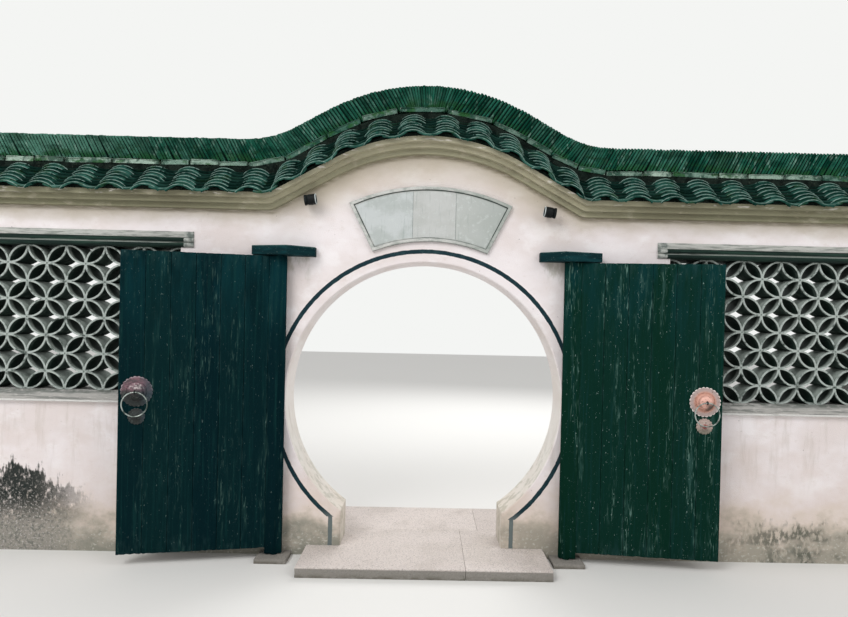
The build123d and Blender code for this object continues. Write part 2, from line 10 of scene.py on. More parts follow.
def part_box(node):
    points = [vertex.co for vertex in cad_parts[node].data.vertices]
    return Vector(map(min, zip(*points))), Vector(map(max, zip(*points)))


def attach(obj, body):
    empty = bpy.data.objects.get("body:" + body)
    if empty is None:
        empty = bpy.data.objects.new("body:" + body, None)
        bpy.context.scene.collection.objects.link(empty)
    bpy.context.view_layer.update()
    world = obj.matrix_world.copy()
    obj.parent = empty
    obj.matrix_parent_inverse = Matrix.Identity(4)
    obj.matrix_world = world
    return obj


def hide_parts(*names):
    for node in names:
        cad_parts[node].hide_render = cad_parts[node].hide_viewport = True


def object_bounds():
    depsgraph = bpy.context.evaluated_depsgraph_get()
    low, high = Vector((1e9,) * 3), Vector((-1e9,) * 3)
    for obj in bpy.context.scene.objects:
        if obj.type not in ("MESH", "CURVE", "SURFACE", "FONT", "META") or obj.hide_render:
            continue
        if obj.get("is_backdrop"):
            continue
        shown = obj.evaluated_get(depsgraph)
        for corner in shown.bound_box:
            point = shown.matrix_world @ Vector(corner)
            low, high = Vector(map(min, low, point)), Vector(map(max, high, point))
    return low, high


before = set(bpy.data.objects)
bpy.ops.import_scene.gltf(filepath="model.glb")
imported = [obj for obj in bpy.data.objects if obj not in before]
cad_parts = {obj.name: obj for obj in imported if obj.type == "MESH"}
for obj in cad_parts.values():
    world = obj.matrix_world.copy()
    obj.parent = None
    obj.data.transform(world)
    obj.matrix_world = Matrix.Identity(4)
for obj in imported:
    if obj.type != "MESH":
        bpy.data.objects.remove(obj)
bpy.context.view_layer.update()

# Camera
# The photograph's view: an eye-height lens on the street, looking straight at the round opening,
# turned a little to the right and tipped a little clockwise.
picture_width = 848
focal_length_px = 635.0
principal_point_px = (9.0, 21.8)
lens_place = Vector((0.001, -4.685, 1.673))
lens_yaw = radians(0.71)
lens_pitch = radians(-0.62)
lens_roll = radians(1.27)

camera_data = bpy.data.cameras.new("camera")
camera_data.lens = camera_data.sensor_width * focal_length_px / picture_width
camera_data.shift_x = -principal_point_px[0] / picture_width
camera_data.shift_y = principal_point_px[1] / picture_width
camera = bpy.data.objects.new("camera", camera_data)
camera.matrix_world = (
    Matrix.Translation(lens_place)
    @ Matrix.Rotation(-lens_yaw, 4, "Z")
    @ Matrix.Rotation(pi / 2 + lens_pitch, 4, "X")
    @ Matrix.Rotation(lens_roll, 4, "Z")
)
bpy.context.scene.collection.objects.link(camera)
bpy.context.scene.camera = camera
bpy.context.scene.view_settings.view_transform = "Standard"

# Studio
# A plain pale floor that keeps the wall's shadow, two wide soft lamps in front and above, one
# behind, and an even pale surround that also shows in what is glossy.
floor_size = 60.0
lamp_size = 5.0
lamp_aim = Vector((0, 0, 1.4))
lamp_places = {
    "left_lamp": ((-5.0, -7.0, 8.0), 520),
    "right_lamp": ((6.5, -5.5, 6.0), 150),
    "back_lamp": ((2.0, 8.0, 7.0), 430),
}
surround_light = 0.66


def colour(code):
    """Linear colour of an sRGB hex code."""
    channels = [int(code[i:i + 2], 16) / 255 for i in (1, 3, 5)]
    return [c / 12.92 if c <= 0.04045 else ((c + 0.055) / 1.055) ** 2.4 for c in channels] + [1.0]


def add_node(tree, kind, inputs=(), output=0, **settings):
    """Add a node with its settings, give its inputs values, hex codes or links, and return an output."""
    node = tree.nodes.new("ShaderNode" + kind)
    for name, value in settings.items():
        setattr(node, name, value)
    for socket, value in inputs.items() if isinstance(inputs, dict) else enumerate(inputs):
        if isinstance(value, bpy.types.NodeSocket):
            tree.links.new(value, node.inputs[socket])
        else:
            node.inputs[socket].default_value = colour(value) if isinstance(value, str) else value
    return node.outputs[output] if node.outputs else None


def start_material(name, roughness, metallic=0.0, specular=0.5):
    """A material whose shader has its even values on its own sockets."""
    material = bpy.data.materials.new(name)
    material.use_nodes = True
    shader = material.node_tree.nodes["Principled BSDF"]
    shader.inputs["Roughness"].default_value = roughness
    shader.inputs["Metallic"].default_value = metallic
    shader.inputs["Specular IOR Level"].default_value = specular
    return material, material.node_tree, shader


def start_mesh(add_primitive, **sizes):
    """Deselect everything, add a primitive at its size and place and open it for editing."""
    bpy.ops.object.select_all(action="DESELECT")
    add_primitive(**sizes)
    bpy.ops.object.mode_set(mode="EDIT")
    bpy.ops.mesh.select_all(action="SELECT")
    return bpy.context.object


def close_mesh():
    """Leave edit mode and put the piece's place into its mesh."""
    bpy.ops.object.mode_set(mode="OBJECT")
    bpy.ops.object.transform_apply()


world = bpy.data.worlds.new("surround")
bpy.context.scene.world = world
world.use_nodes = True
sky = world.node_tree
sky.nodes.clear()
ray = add_node(sky, "LightPath").node.outputs
direct = add_node(sky, "Math", (ray["Is Camera Ray"], ray["Is Glossy Ray"]), operation="MAXIMUM")
seen = add_node(sky, "Math", (direct, ray["Is Transmission Ray"]), operation="MAXIMUM")
lighting = add_node(sky, "Background", ("#FFFFFF", surround_light))
backdrop = add_node(sky, "Background", ("#F4F5F3", 1.0))
add_node(sky, "OutputWorld", (add_node(sky, "MixShader", (seen, lighting, backdrop)),))

for name, (place, power) in lamp_places.items():
    lamp_data = bpy.data.lights.new(name, "AREA")
    lamp_data.size = lamp_size
    lamp_data.energy = power
    lamp = bpy.data.objects.new(name, lamp_data)
    lamp.location = place
    lamp.rotation_euler = (lamp_aim - Vector(place)).to_track_quat("-Z", "Y").to_euler()
    bpy.context.scene.collection.objects.link(lamp)

floor = start_mesh(bpy.ops.mesh.primitive_plane_add, size=floor_size)
close_mesh()
floor.name = "floor"
floor_material, tree, shader = start_material("pale_floor", 0.9)
shader.inputs["Base Color"].default_value = colour("#E4E3E0")
floor.data.materials.append(floor_material)
floor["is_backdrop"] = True

# Walls
# Brick walls under a trowelled lime plaster that has gone pinkish and mottled.  A dark line is
# painted round the opening, and rain, moss and splashing leave streaks, stains and mould.
wall_nodes = [
    "left_jamb_wall", "right_jamb_wall", "arch_head_wall", "left_dado_wall", "right_dado_wall",
    "left_window_head_wall", "right_window_head_wall", "left_end_pier", "right_end_pier",
]
wall_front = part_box("arch_head_wall")[0].y
wall_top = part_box("left_end_pier")[1].z
wall_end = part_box("right_end_pier")[1].x
rise_start = 1.100
rise_slope = radians(29)
rise_height = 0.418
crown_radius = (rise_start * tan(rise_slope) - rise_height) / (1 / cos(rise_slope) - 1)
opening_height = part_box("arch_head_wall")[0].z
line_radius = 1.064
line_half_width = 0.0155
line_raggedness = 0.004
line_softness = 0.003
line_upright = 0.648
line_corner = opening_height - sqrt(line_radius**2 - line_upright**2)
sill_foot = 1.05
bracket_foot, bracket_inner, bracket_outer = 2.12, 0.83, 1.23


def place_axes(tree):
    """Outputs for where a point of the piece lies along X, Y and Z, in metres."""
    place = add_node(tree, "TexCoord", output="Object")
    return add_node(tree, "SeparateXYZ", (place,)).node.outputs


def distance(tree, value, line=0.0):
    """Output for how far a value lies from a line, on either side of it."""
    apart = add_node(tree, "Math", (value, line), operation="SUBTRACT")
    return add_node(tree, "Math", (apart,), operation="ABSOLUTE")


def fade(tree, value, start, end):
    """Mask that goes softly from 0 where the value is at start to 1 where it is at end."""
    return add_node(tree, "MapRange", (value, start, end), interpolation_type="SMOOTHSTEP")


def patches(tree, reach, low, high, detail=4.0, shift=0.0):
    """Mask of soft-edged patches.  Their reach along X, Y and Z is in millimetres."""
    place = add_node(tree, "TexCoord", output="Object")
    sized = add_node(tree, "Mapping", {
        "Vector": place, "Location": (shift, 2 * shift, -shift), "Scale": [1000 / size for size in reach],
    })
    cloud = add_node(tree, "TexNoise", {"Vector": sized, "Scale": 1.0, "Detail": detail, "Roughness": 0.6})
    return fade(tree, cloud, low, high)


def relief(tree, reach, detail=4.0):
    """Height of an uneven surface, from 0 to 1.  Its bumps' reach is given as for patches."""
    return patches(tree, reach, 0.2, 0.8, detail)


def overlap(tree, *masks):
    """Product of some masks, which is what lies in all of them.  A number among them scales it."""
    share = masks[0]
    for mask in masks[1:]:
        share = add_node(tree, "Math", (share, mask), operation="MULTIPLY")
    return share


def coats(tree, tone, *layers):
    """Colour under some coats.  Each has its colour, its strength and the masks that it fills."""
    for over, strength, *masks in layers:
        share = overlap(tree, *masks, strength)
        tone = add_node(tree, "Mix", {0: share, 6: tone, 7: over}, output=2, data_type="RGBA")
    return tone


def surface(tree, shader, tone, height, depth):
    """Give a material its colour and its relief, up to a depth in metres."""
    tree.links.new(tone, shader.inputs["Base Color"])
    bump = add_node(tree, "Bump", {"Height": height, "Distance": depth})
    tree.links.new(bump, shader.inputs["Normal"])


def dress(material, *names):
    """Give solids of the frame a material in place of the one they came with."""
    for name in names:
        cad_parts[name].data.materials.clear()
        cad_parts[name].data.materials.append(material)


def below_roofline(tree):
    """Output for how far a point lies below the line where the wall meets its cornice."""
    x, _, z = place_axes(tree)
    out = distance(tree, x)
    inward = add_node(tree, "Math", (rise_start, out), operation="SUBTRACT")
    slope = overlap(tree, inward, tan(rise_slope))
    squared = add_node(tree, "Math", (crown_radius**2, overlap(tree, out, out)), operation="SUBTRACT")
    arc = add_node(tree, "Math", (squared,), operation="SQRT")
    crown = add_node(tree, "Math", (arc, crown_radius - rise_height), operation="SUBTRACT")
    rounded = add_node(tree, "Math", (out, crown_radius * sin(rise_slope)), operation="LESS_THAN")
    upper = add_node(tree, "Mix", {0: rounded, 2: slope, 3: crown})
    rise = add_node(tree, "Math", (upper, 0.0), operation="MAXIMUM")
    line = add_node(tree, "Math", (rise, wall_top), operation="ADD")
    return add_node(tree, "Math", (line, z), operation="SUBTRACT")


def painted_line(tree):
    """Mask of the line painted round the opening on the street side, and down to the landing."""
    x, y, z = place_axes(tree)
    out = distance(tree, x)
    up = add_node(tree, "Math", (z, opening_height), operation="SUBTRACT")
    squares = add_node(tree, "Math", (overlap(tree, x, x), overlap(tree, up, up)), operation="ADD")
    radius = add_node(tree, "Math", (squares,), operation="SQRT")
    low = add_node(tree, "Math", (z, line_corner), operation="LESS_THAN")
    off = add_node(tree, "Mix", {
        0: low, 2: distance(tree, radius, line_radius), 3: distance(tree, out, line_upright),
    })
    ragged = overlap(tree, relief(tree, (50, 50, 50), 5.0), line_raggedness)
    near = add_node(tree, "Math", (off, ragged), operation="ADD")
    street = add_node(tree, "Math", (y, wall_front + 0.001), operation="LESS_THAN")
    return overlap(tree, fade(tree, near, line_half_width + line_softness, line_half_width), street)


# Lime plaster: matt and pale, with the trowel's waves, cloudy tones and a fine sandy grain.
lime_plaster, tree, shader = start_material("lime_plaster", 0.92, specular=0.3)
x, y, z = place_axes(tree)
depth = below_roofline(tree)
tone = coats(
    tree, "#EAE3E4",
    ("#DFD5D3", 1.0, patches(tree, (700, 700, 450), 0.42, 0.64)),
    ("#F1EDEE", 0.6, patches(tree, (240, 240, 170), 0.5, 0.68, 5.0)),
    ("#D2C6C0", 0.35, patches(tree, (60, 60, 42), 0.56, 0.74, 9.0)),
    ("#4A4440", 0.6, patches(tree, (24, 24, 24), 0.74, 0.78, 2.0)),
)
# Tan water seeps from the cornice and fades out; right under it a thin dark line is grime
# and the cornice's painted shade
waver = overlap(tree, relief(tree, (330, 330, 160), 5.0), 0.07)
seep = add_node(tree, "Math", (depth, waver), operation="ADD")
aside = distance(tree, x)
over_gate = overlap(tree, fade(tree, aside, 1.15, 0.75), fade(tree, seep, 0.380, 0.120))
grime_and_shade = overlap(tree, fade(tree, depth, 0.045, 0.002), patches(tree, (150, 150, 24), 0.3, 0.6, 5.0))
tone = coats(
    tree, tone,
    ("#BDB19D", 0.55, over_gate),
    ("#B9AF9D", 0.8, fade(tree, seep, 0.190, 0.040)),
    ("#857C66", 0.7, grime_and_shade),
)
# The passage through the wall is greyer, with blotches of green where it stays damp
out = distance(tree, y)
reveal = fade(tree, out, -wall_front - 0.003, -wall_front - 0.009)
damp = overlap(tree, fade(tree, z, 1.05, 0.2), patches(tree, (70, 60, 70), 0.46, 0.62, 7.0), reveal)
tone = coats(
    tree, tone,
    ("#DAD8CC", 0.7, reveal, fade(tree, z, 2.3, 0.3)),
    ("#9A9D8C", 0.7, damp),
)
# Rain runs down from the sills
runs = patches(tree, (70, 70, 520), 0.5, 0.7, 8.0)
under_sill = overlap(tree, fade(tree, z, sill_foot + 0.02, sill_foot - 0.02), fade(tree, z, 0.35, 0.75))
tone = coats(tree, tone, ("#B3A99D", 0.35, under_sill, runs))
# Splashed soil at the foot, greyer at the very bottom, with pale flecks
waver = overlap(tree, relief(tree, (210, 210, 170), 6.0), 0.30)
low_down = add_node(tree, "Math", (z, waver), operation="ADD")
face = add_node(tree, "MapRange", (reveal, 0.0, 1.0, 1.0, 0.45))
left_half = add_node(tree, "MapRange", (x, 0.3, -0.3, 0.72, 0.92))
tone = coats(
    tree, tone,
    ("#D3BFB4", 0.4, face, fade(tree, low_down, 1.05, 0.55)),
    ("#CDBCA6", 0.65, face, fade(tree, low_down, 0.70, 0.30)),
    ("#84857A", 1.0, face, left_half, fade(tree, low_down, 0.50, 0.20)),
    ("#C9C6BC", 0.6, patches(tree, (26, 26, 18), 0.56, 0.64, 5.0), fade(tree, z, 0.30, 0.10)),
)
# Black mould under a ragged edge at the left end, with paler flakes in it, and in clusters at
# the right end
left_end = fade(tree, x, -2.25, -2.80)
right_end = fade(tree, x, 1.9, 2.6)
streaks = overlap(tree, patches(tree, (26, 26, 120), 0.3, 0.7, 8.0), 0.11)
waves = overlap(tree, patches(tree, (150, 150, 150), 0.35, 0.65, 3.0), 0.09)
ragged = z
for rise in (streaks, waves, overlap(tree, left_end, -0.22)):
    ragged = add_node(tree, "Math", (ragged, rise), operation="ADD")
mould = overlap(tree, fade(tree, ragged, 0.48, 0.42), patches(tree, (26, 26, 50), 0.28, 0.46, 8.0), left_end)
flakes = overlap(tree, patches(tree, (15, 15, 13), 0.54, 0.62, 5.0), fade(tree, z, 0.62, 0.30))
low_mould = overlap(tree, patches(tree, (24, 24, 45), 0.38, 0.54, 8.0), fade(tree, ragged, 0.40, 0.34))
clusters = overlap(tree, right_end, patches(tree, (260, 260, 200), 0.42, 0.60, 3.0, 3.0))
tone = coats(
    tree, tone,
    ("#8F8A83", 0.85, mould),
    ("#5E625B", 0.7, mould, patches(tree, (22, 22, 22), 0.5, 0.6, 6.0, 2.0)),
    ("#121D1B", 0.95, mould, fade(tree, z, 0.14, 0.40)),
    ("#BDB8B4", 0.7, flakes, left_end),
    ("#3F463C", 0.75, low_mould, clusters),
)
# Moss water under the timber brackets, mixed with their painted shadow
bracket_width = overlap(
    tree,
    fade(tree, aside, bracket_inner - 0.03, bracket_inner + 0.03),
    fade(tree, aside, bracket_outer + 0.03, bracket_outer - 0.03),
)
below_bracket = overlap(
    tree, fade(tree, z, bracket_foot - 0.26, bracket_foot), fade(tree, z, bracket_foot + 0.03, bracket_foot),
)
street = add_node(tree, "Math", (y, 0.0), operation="LESS_THAN")
moss_and_shadow = patches(tree, (60, 60, 150), 0.4, 0.6, 5.0)
tone = coats(tree, tone, ("#8D8A6E", 0.5, below_bracket, bracket_width, street, moss_and_shadow))
# The painted line, worn grey where it comes straight down
line_tone = coats(
    tree, "#0D2B33",
    ("#294448", 0.5, patches(tree, (60, 60, 60), 0.5, 0.66, 6.0)),
    ("#6C7574", 0.85, fade(tree, z, line_corner + 0.07, line_corner - 0.03)),
)
tone = coats(tree, tone, (line_tone, 1.0, painted_line(tree)))
# The trowel's waves, with the grain of the sand on them
trowel = overlap(tree, relief(tree, (190, 190, 120), 1.0), 0.75)
grain = overlap(tree, relief(tree, (6, 6, 6), 1.0), 0.25)
surface(tree, shader, tone, add_node(tree, "Math", (trowel, grain), operation="ADD"), 0.0045)
dress(lime_plaster, *wall_nodes)

# Cornice
# Three plastered courses that step out under the tiles.  Dust and rain off the tiles have
# turned their limewash an even tan, with whiter patches left right under the eaves.
stained_limewash, tree, shader = start_material("stained_limewash", 0.95, specular=0.3)
depth = below_roofline(tree)
course = fade(tree, depth, -0.075, -0.005)
out = distance(tree, place_axes(tree)["X"])
tone = coats(
    tree, "#ADA890",
    ("#9C9981", 1.0, course),
    ("#7D7C64", 0.7, fade(tree, out, 0.9, 1.7)),
    ("#7A7560", 0.4, patches(tree, (300, 300, 130), 0.44, 0.66, 5.0)),
    ("#BDB5A2", 0.5, patches(tree, (140, 140, 70), 0.54, 0.7, 6.0)),
    ("#E6E0D8", 0.8, patches(tree, (110, 110, 22), 0.58, 0.66, 6.0), fade(tree, depth, -0.06, -0.09)),
    ("#4E4A3E", 0.75, patches(tree, (12, 12, 12), 0.68, 0.74, 3.0)),
)
surface(tree, shader, tone, relief(tree, (110, 110, 60), 3.0), 0.005)
dress(stained_limewash, "left_wing_cornice", "arch_cornice", "right_wing_cornice")

# Roof bed
# Rubble and lime mortar that the tiles are bedded in.  It only shows in the gaps between
# tiles and at the wall's cut ends, and is coloured near black, which is painted shade in those gaps.
bed_mortar, tree, shader = start_material("bed_mortar", 0.97, specular=0.08)
tone = coats(
    tree, "#1C2621",
    ("#0B1411", 1.0, patches(tree, (60, 60, 60), 0.4, 0.62)),
    ("#434A3C", 0.5, patches(tree, (14, 14, 14), 0.6, 0.7, 3.0)),
)
surface(tree, shader, tone, relief(tree, (18, 18, 18)), 0.006)
dress(bed_mortar, "left_wing_roof_bed", "arch_roof_bed", "right_wing_roof_bed")

# Roof tiles
# Thin grey clay tiles, each a slice of a cylinder.  Pans lie hollow side up and covers over
# their joints, overlapping so far that a short lip of each shows, with moss on the lips.
tile_row_count = 30
tile_thickness = 0.013
tile_length = 0.110
tile_show = 0.043
roof_pitch = radians(40)
tile_pitch = roof_pitch - asin(tile_thickness / tile_show)
eaves_out = -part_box("front_tile_rows")[0].y
eaves_height = wall_top + 0.090
eaves_valley_radius = 0.120
neck_half_width = 0.115
cover_width, cover_rise, cover_seat = 0.200, 0.045, 0.003
pan_width, pan_dip, pan_seat = 0.176, 0.024, 0.001
lip_depth = 0.004
# How far a tile is laid out of true
laying_slip, laying_shift = 0.008, 0.005
laying_tilt, laying_turn = radians(2.2), radians(2.0)


def roofline(along, height, valley_radius):
    """X, Z and slope of the roofline at a distance along it from the middle of the gate."""
    side = 1 if along >= 0 else -1
    rest = abs(along)
    corner = valley_radius * tan(rise_slope / 2)
    straight = (rise_start - crown_radius * sin(rise_slope)) / cos(rise_slope) - corner
    if rest <= crown_radius * rise_slope:
        turn = rest / crown_radius
        rise = rise_height - crown_radius * (1 - cos(turn))
        return side * crown_radius * sin(turn), height + rise, -side * turn
    rest -= crown_radius * rise_slope
    if rest <= straight:
        foot = corner + straight - rest
        x = rise_start - foot * cos(rise_slope)
        return side * x, height + foot * sin(rise_slope), -side * rise_slope
    rest -= straight
    if rest <= valley_radius * rise_slope:
        turn = rise_slope - rest / valley_radius
        x = rise_start + corner - valley_radius * sin(turn)
        return side * x, height + valley_radius * (1 - cos(turn)), -side * turn
    rest -= valley_radius * rise_slope
    return side * (rise_start + corner + rest), height, 0.0


def roofline_half_length(valley_radius):
    """Length of the roofline from the middle of the gate to the wall's end."""
    corner = valley_radius * tan(rise_slope / 2)
    straight = (rise_start - crown_radius * sin(rise_slope)) / cos(rise_slope) - corner
    return (crown_radius + valley_radius) * rise_slope + straight + wall_end - rise_start - corner


def pick(piece):
    """Select one piece and nothing else."""
    bpy.ops.object.select_all(action="DESELECT")
    piece.select_set(True)
    bpy.context.view_layer.objects.active = piece


def smooth(piece, degrees):
    """Shade a piece smooth, except along arrises sharper than an angle."""
    pick(piece)
    bpy.ops.object.shade_smooth_by_angle(angle=radians(degrees))


def curved_tile(width, rise, thickness, length, steps, slices=1):
    """A slice of a cylinder, hollow side down, from its front end at y = 0 back along Y."""
    radius = (width**2 / 4 + rise**2) / (2 * rise)
    half_turn = asin(width / 2 / radius)
    tile = start_mesh(
        bpy.ops.mesh.primitive_cylinder_add,
        vertices=round(steps * pi / half_turn), radius=radius, depth=length, end_fill_type="NOTHING",
        location=(0, length / 2, rise - radius), rotation=(pi / 2, 0, 0),
    )
    bpy.ops.mesh.bisect(plane_co=(0, 0, 0), plane_no=(0, 0, 1), clear_inner=True)
    for cut in range(1, slices):
        bpy.ops.mesh.select_all(action="SELECT")
        bpy.ops.mesh.bisect(plane_co=(0, length * cut / slices, 0), plane_no=(0, 1, 0))
    close_mesh()
    thicken = tile.modifiers.new("thickness", "SOLIDIFY")
    thicken.thickness = thickness
    thicken.offset = -1
    bpy.ops.object.modifier_apply(modifier=thicken.name)
    smooth(tile, 40)
    return tile


def mark_rim(piece, worn):
    """Mark how worn and pale each point of a piece is, from 0 to 1, or below 0 where it is dark; some of
    these marks are painted highlight or painted shade.
    """
    rim = piece.data.attributes.new("rim", "FLOAT", "POINT")
    for spot, vertex in zip(rim.data, piece.data.vertices):
        spot.value = worn(vertex.co)


def outside(spot, width, rise):
    """Whether a point of a curved tile lies on its outer side."""
    radius = (width**2 / 4 + rise**2) / (2 * rise)
    return hypot(spot.x, spot.z + radius - rise) > radius - tile_thickness / 2


def dent(piece, reach, depth, shift=0.0):
    """Push a piece's points in by uneven amounts, up to a depth."""
    normals = [vertex.normal.copy() for vertex in piece.data.vertices]
    for vertex, normal in zip(piece.data.vertices, normals):
        share = 0.5 + 0.5 * noise.noise(vertex.co / reach + Vector((shift, shift, shift)))
        vertex.co -= normal * depth * max(0.0, share)


def lay_copies(name, patterns, places, seed):
    """One piece made of copies of the patterns in turn by chance, each copy with a tone of its own."""
    chance = random.Random(seed)
    laid = bmesh.new()
    laid.from_mesh(patterns[0].data)
    bmesh.ops.delete(laid, geom=laid.verts[:], context="VERTS")
    tone_layer = laid.verts.layers.float.new("tone")
    for place in places:
        copy = chance.choice(patterns).data.copy()
        copy.transform(place)
        if place.determinant() < 0:
            copy.flip_normals()
        before = len(laid.verts)
        laid.from_mesh(copy)
        laid.verts.ensure_lookup_table()
        tone = chance.random()
        for vertex in laid.verts[before:]:
            vertex[tone_layer] = tone
        bpy.data.meshes.remove(copy)
    mesh = bpy.data.meshes.new(name)
    laid.to_mesh(mesh)
    laid.free()
    piece = bpy.data.objects.new(name, mesh)
    bpy.context.scene.collection.objects.link(piece)
    return piece


def join_pieces(name, pieces):
    """Join pieces into one, under one name."""
    pick(pieces[0])
    for piece in pieces:
        piece.select_set(True)
    bpy.ops.object.join()
    pieces[0].name = name
    return pieces[0]


def hand_over(piece, material, body, slot, *nodes):
    """Give a finished piece its material, and let it stand for solids of the frame."""
    piece.data.materials.clear()
    piece.data.materials.append(material)
    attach(piece, body)
    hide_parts(*nodes)


def clear_away(patterns):
    """Remove the pieces that copies were made from."""
    for pattern in patterns:
        bpy.data.objects.remove(pattern)


def pan_wear_and_highlight(spot):
    """How worn and pale a pan is at a point, with a painted highlight: only on its front end, and most on its
    hollow side.
    """
    if spot.y > lip_depth:
        return 0.0
    return 0.3 if outside(spot, pan_width, pan_dip) else 0.75


cover_tiles = []
for shape in range(4):
    tile = curved_tile(cover_width, cover_rise, tile_thickness, tile_length, steps=7, slices=4)
    # A cover's lip is pale on its outer side, from wear and from a painted highlight along its upper edge
    mark_rim(tile, lambda spot: float(spot.y < lip_depth and outside(spot, cover_width, cover_rise)))
    dent(tile, reach=0.05, depth=0.0022, shift=9.0 * shape)
    cover_tiles.append(tile)
eaves_pan = curved_tile(pan_width, pan_dip, tile_thickness, tile_length, steps=5)
mark_rim(eaves_pan, pan_wear_and_highlight)
eaves_pan.data.transform(Matrix.Translation((0, 0, pan_dip)) @ Matrix.Rotation(pi, 4, "Y"))
upper_pan = eaves_pan.copy()
upper_pan.data = eaves_pan.data.copy()
# Pans above the eaves are marked below 0, to take painted shade where the covers hide them
for spot in upper_pan.data.attributes["rim"].data:
    spot.value = 0.35 * spot.value - 1.0

half_length = roofline_half_length(eaves_valley_radius)
row_pitch = 2 * half_length / tile_row_count
slope_length = (eaves_out - neck_half_width) / cos(roof_pitch)
tiles_up = int(slope_length / tile_show) + 1


def tile_places(rows, steps, seat, seed):
    """Places of the tiles of some rows on the street side, for some steps up from the eaves."""
    chance = random.Random(seed)
    places = []
    for row in rows:
        x, z, slope = roofline((row - tile_row_count / 2) * row_pitch, eaves_height, eaves_valley_radius)
        for step in steps:
            up = step * tile_show
            slip = laying_slip * chance.random()
            places.append(
                Matrix.Translation((x, -eaves_out + up * cos(roof_pitch) + slip, z + up * sin(roof_pitch)))
                @ Matrix.Rotation(-slope + laying_tilt * chance.uniform(-1, 1), 4, "Y")
                @ Matrix.Translation((laying_shift * chance.uniform(-1, 1), 0, seat))
                @ Matrix.Rotation(tile_pitch, 4, "X")
                @ Matrix.Rotation(laying_turn * chance.uniform(-1, 1), 4, "Z")
            )
    return places


# Fired clay: dark grey-green and matt, tile by tile a little different, with pale rims that are
# worn and carry a painted highlight, cushions of moss, and painted shade down the pans.
clay_tile, tree, shader = start_material("clay_tile", 0.95, specular=0.03)
tone_mark = add_node(tree, "Attribute", output="Fac", attribute_name="tone")
rim_mark = add_node(tree, "Attribute", output="Fac", attribute_name="rim")
# Lips are pale from wear and from a painted highlight on their upper edges
lip_wear_and_highlight = overlap(tree, fade(tree, rim_mark, 0.5, 1.0), patches(tree, (55, 55, 55), 0.3, 0.56, 4.0))
moss = patches(tree, (120, 90, 90), 0.54, 0.64, 7.0)
# The last coat is painted shade on the pans above the eaves
tone = coats(
    tree, "#07332B",
    ("#346257", 1.0, tone_mark),
    ("#02221B", 0.6, patches(tree, (80, 80, 80), 0.42, 0.62)),
    ("#3F6E62", 0.4, patches(tree, (26, 26, 26), 0.56, 0.68, 6.0)),
    ("#9CB6AD", 0.85, lip_wear_and_highlight),
    ("#27451F", 0.6, moss, patches(tree, (18, 18, 18), 0.35, 0.55, 4.0)),
    ("#04100D", 0.85, fade(tree, rim_mark, -0.3, -1.0)),
)
surface(tree, shader, tone, relief(tree, (11, 11, 11), 3.0), 0.003)

half_turn = Matrix.Rotation(pi, 4, "Z")
for side, turn in (("front", Matrix.Identity(4)), ("back", half_turn)):
    seed = len(side)
    cover_rows = [row + 0.5 for row in range(tile_row_count)]
    pan_rows = range(1, tile_row_count)
    covers = tile_places(cover_rows, range(tiles_up), cover_seat, seed)
    low_pans = tile_places(pan_rows, range(1), pan_seat, seed + 10)
    high_pans = tile_places(pan_rows, range(1, tiles_up), pan_seat, seed + 20)
    rows = join_pieces(f"{side}_roof_tiles", [
        lay_copies("covers", cover_tiles, [turn @ place for place in covers], seed),
        lay_copies("eaves_pans", [eaves_pan], [turn @ place for place in low_pans], seed + 1),
        lay_copies("pans", [upper_pan], [turn @ place for place in high_pans], seed + 2),
    ])
    hand_over(rows, clay_tile, "wall", "roof_tile", f"{side}_tile_rows")
clear_away((*cover_tiles, eaves_pan, upper_pan))

# Slab course
# Split stone slabs of uneven length and thickness, bedded roughly level on the tiles' top ends
# to carry the ridge, with open joints.
ridge_valley_radius = 0.900
slab_course_height = wall_top + 0.315
slab_course_thickness = 0.045
slab_half_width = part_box("ridge_slab_course")[1].y
slab_lengths = (0.21, 0.27, 0.34)
slab_joint = 0.011
shortest_slab = 0.06
# How far a slab is laid out of true, and how much thinner and narrower it may be
slab_shift, slab_step = 0.006, 0.003
slab_tilt, slab_turn = radians(1.8), radians(1.0)
slab_thinning, slab_narrowing = 0.22, 0.05
slab_width_share = 0.95


def dressed_block(low, high, edge, cuts):
    """A block between two corners with its faces divided and its arrises eased."""
    size = Vector(high) - Vector(low)
    block = start_mesh(bpy.ops.mesh.primitive_cube_add, size=1, location=(Vector(low) + Vector(high)) / 2)
    bpy.ops.transform.resize(value=size)
    bpy.ops.mesh.subdivide(number_cuts=cuts)
    bpy.ops.mesh.select_all(action="DESELECT")
    bpy.ops.mesh.select_mode(type="EDGE")
    bpy.ops.mesh.edges_select_sharp(sharpness=radians(60))
    bpy.ops.mesh.bevel(offset=edge, segments=2)
    close_mesh()
    smooth(block, 50)
    return block


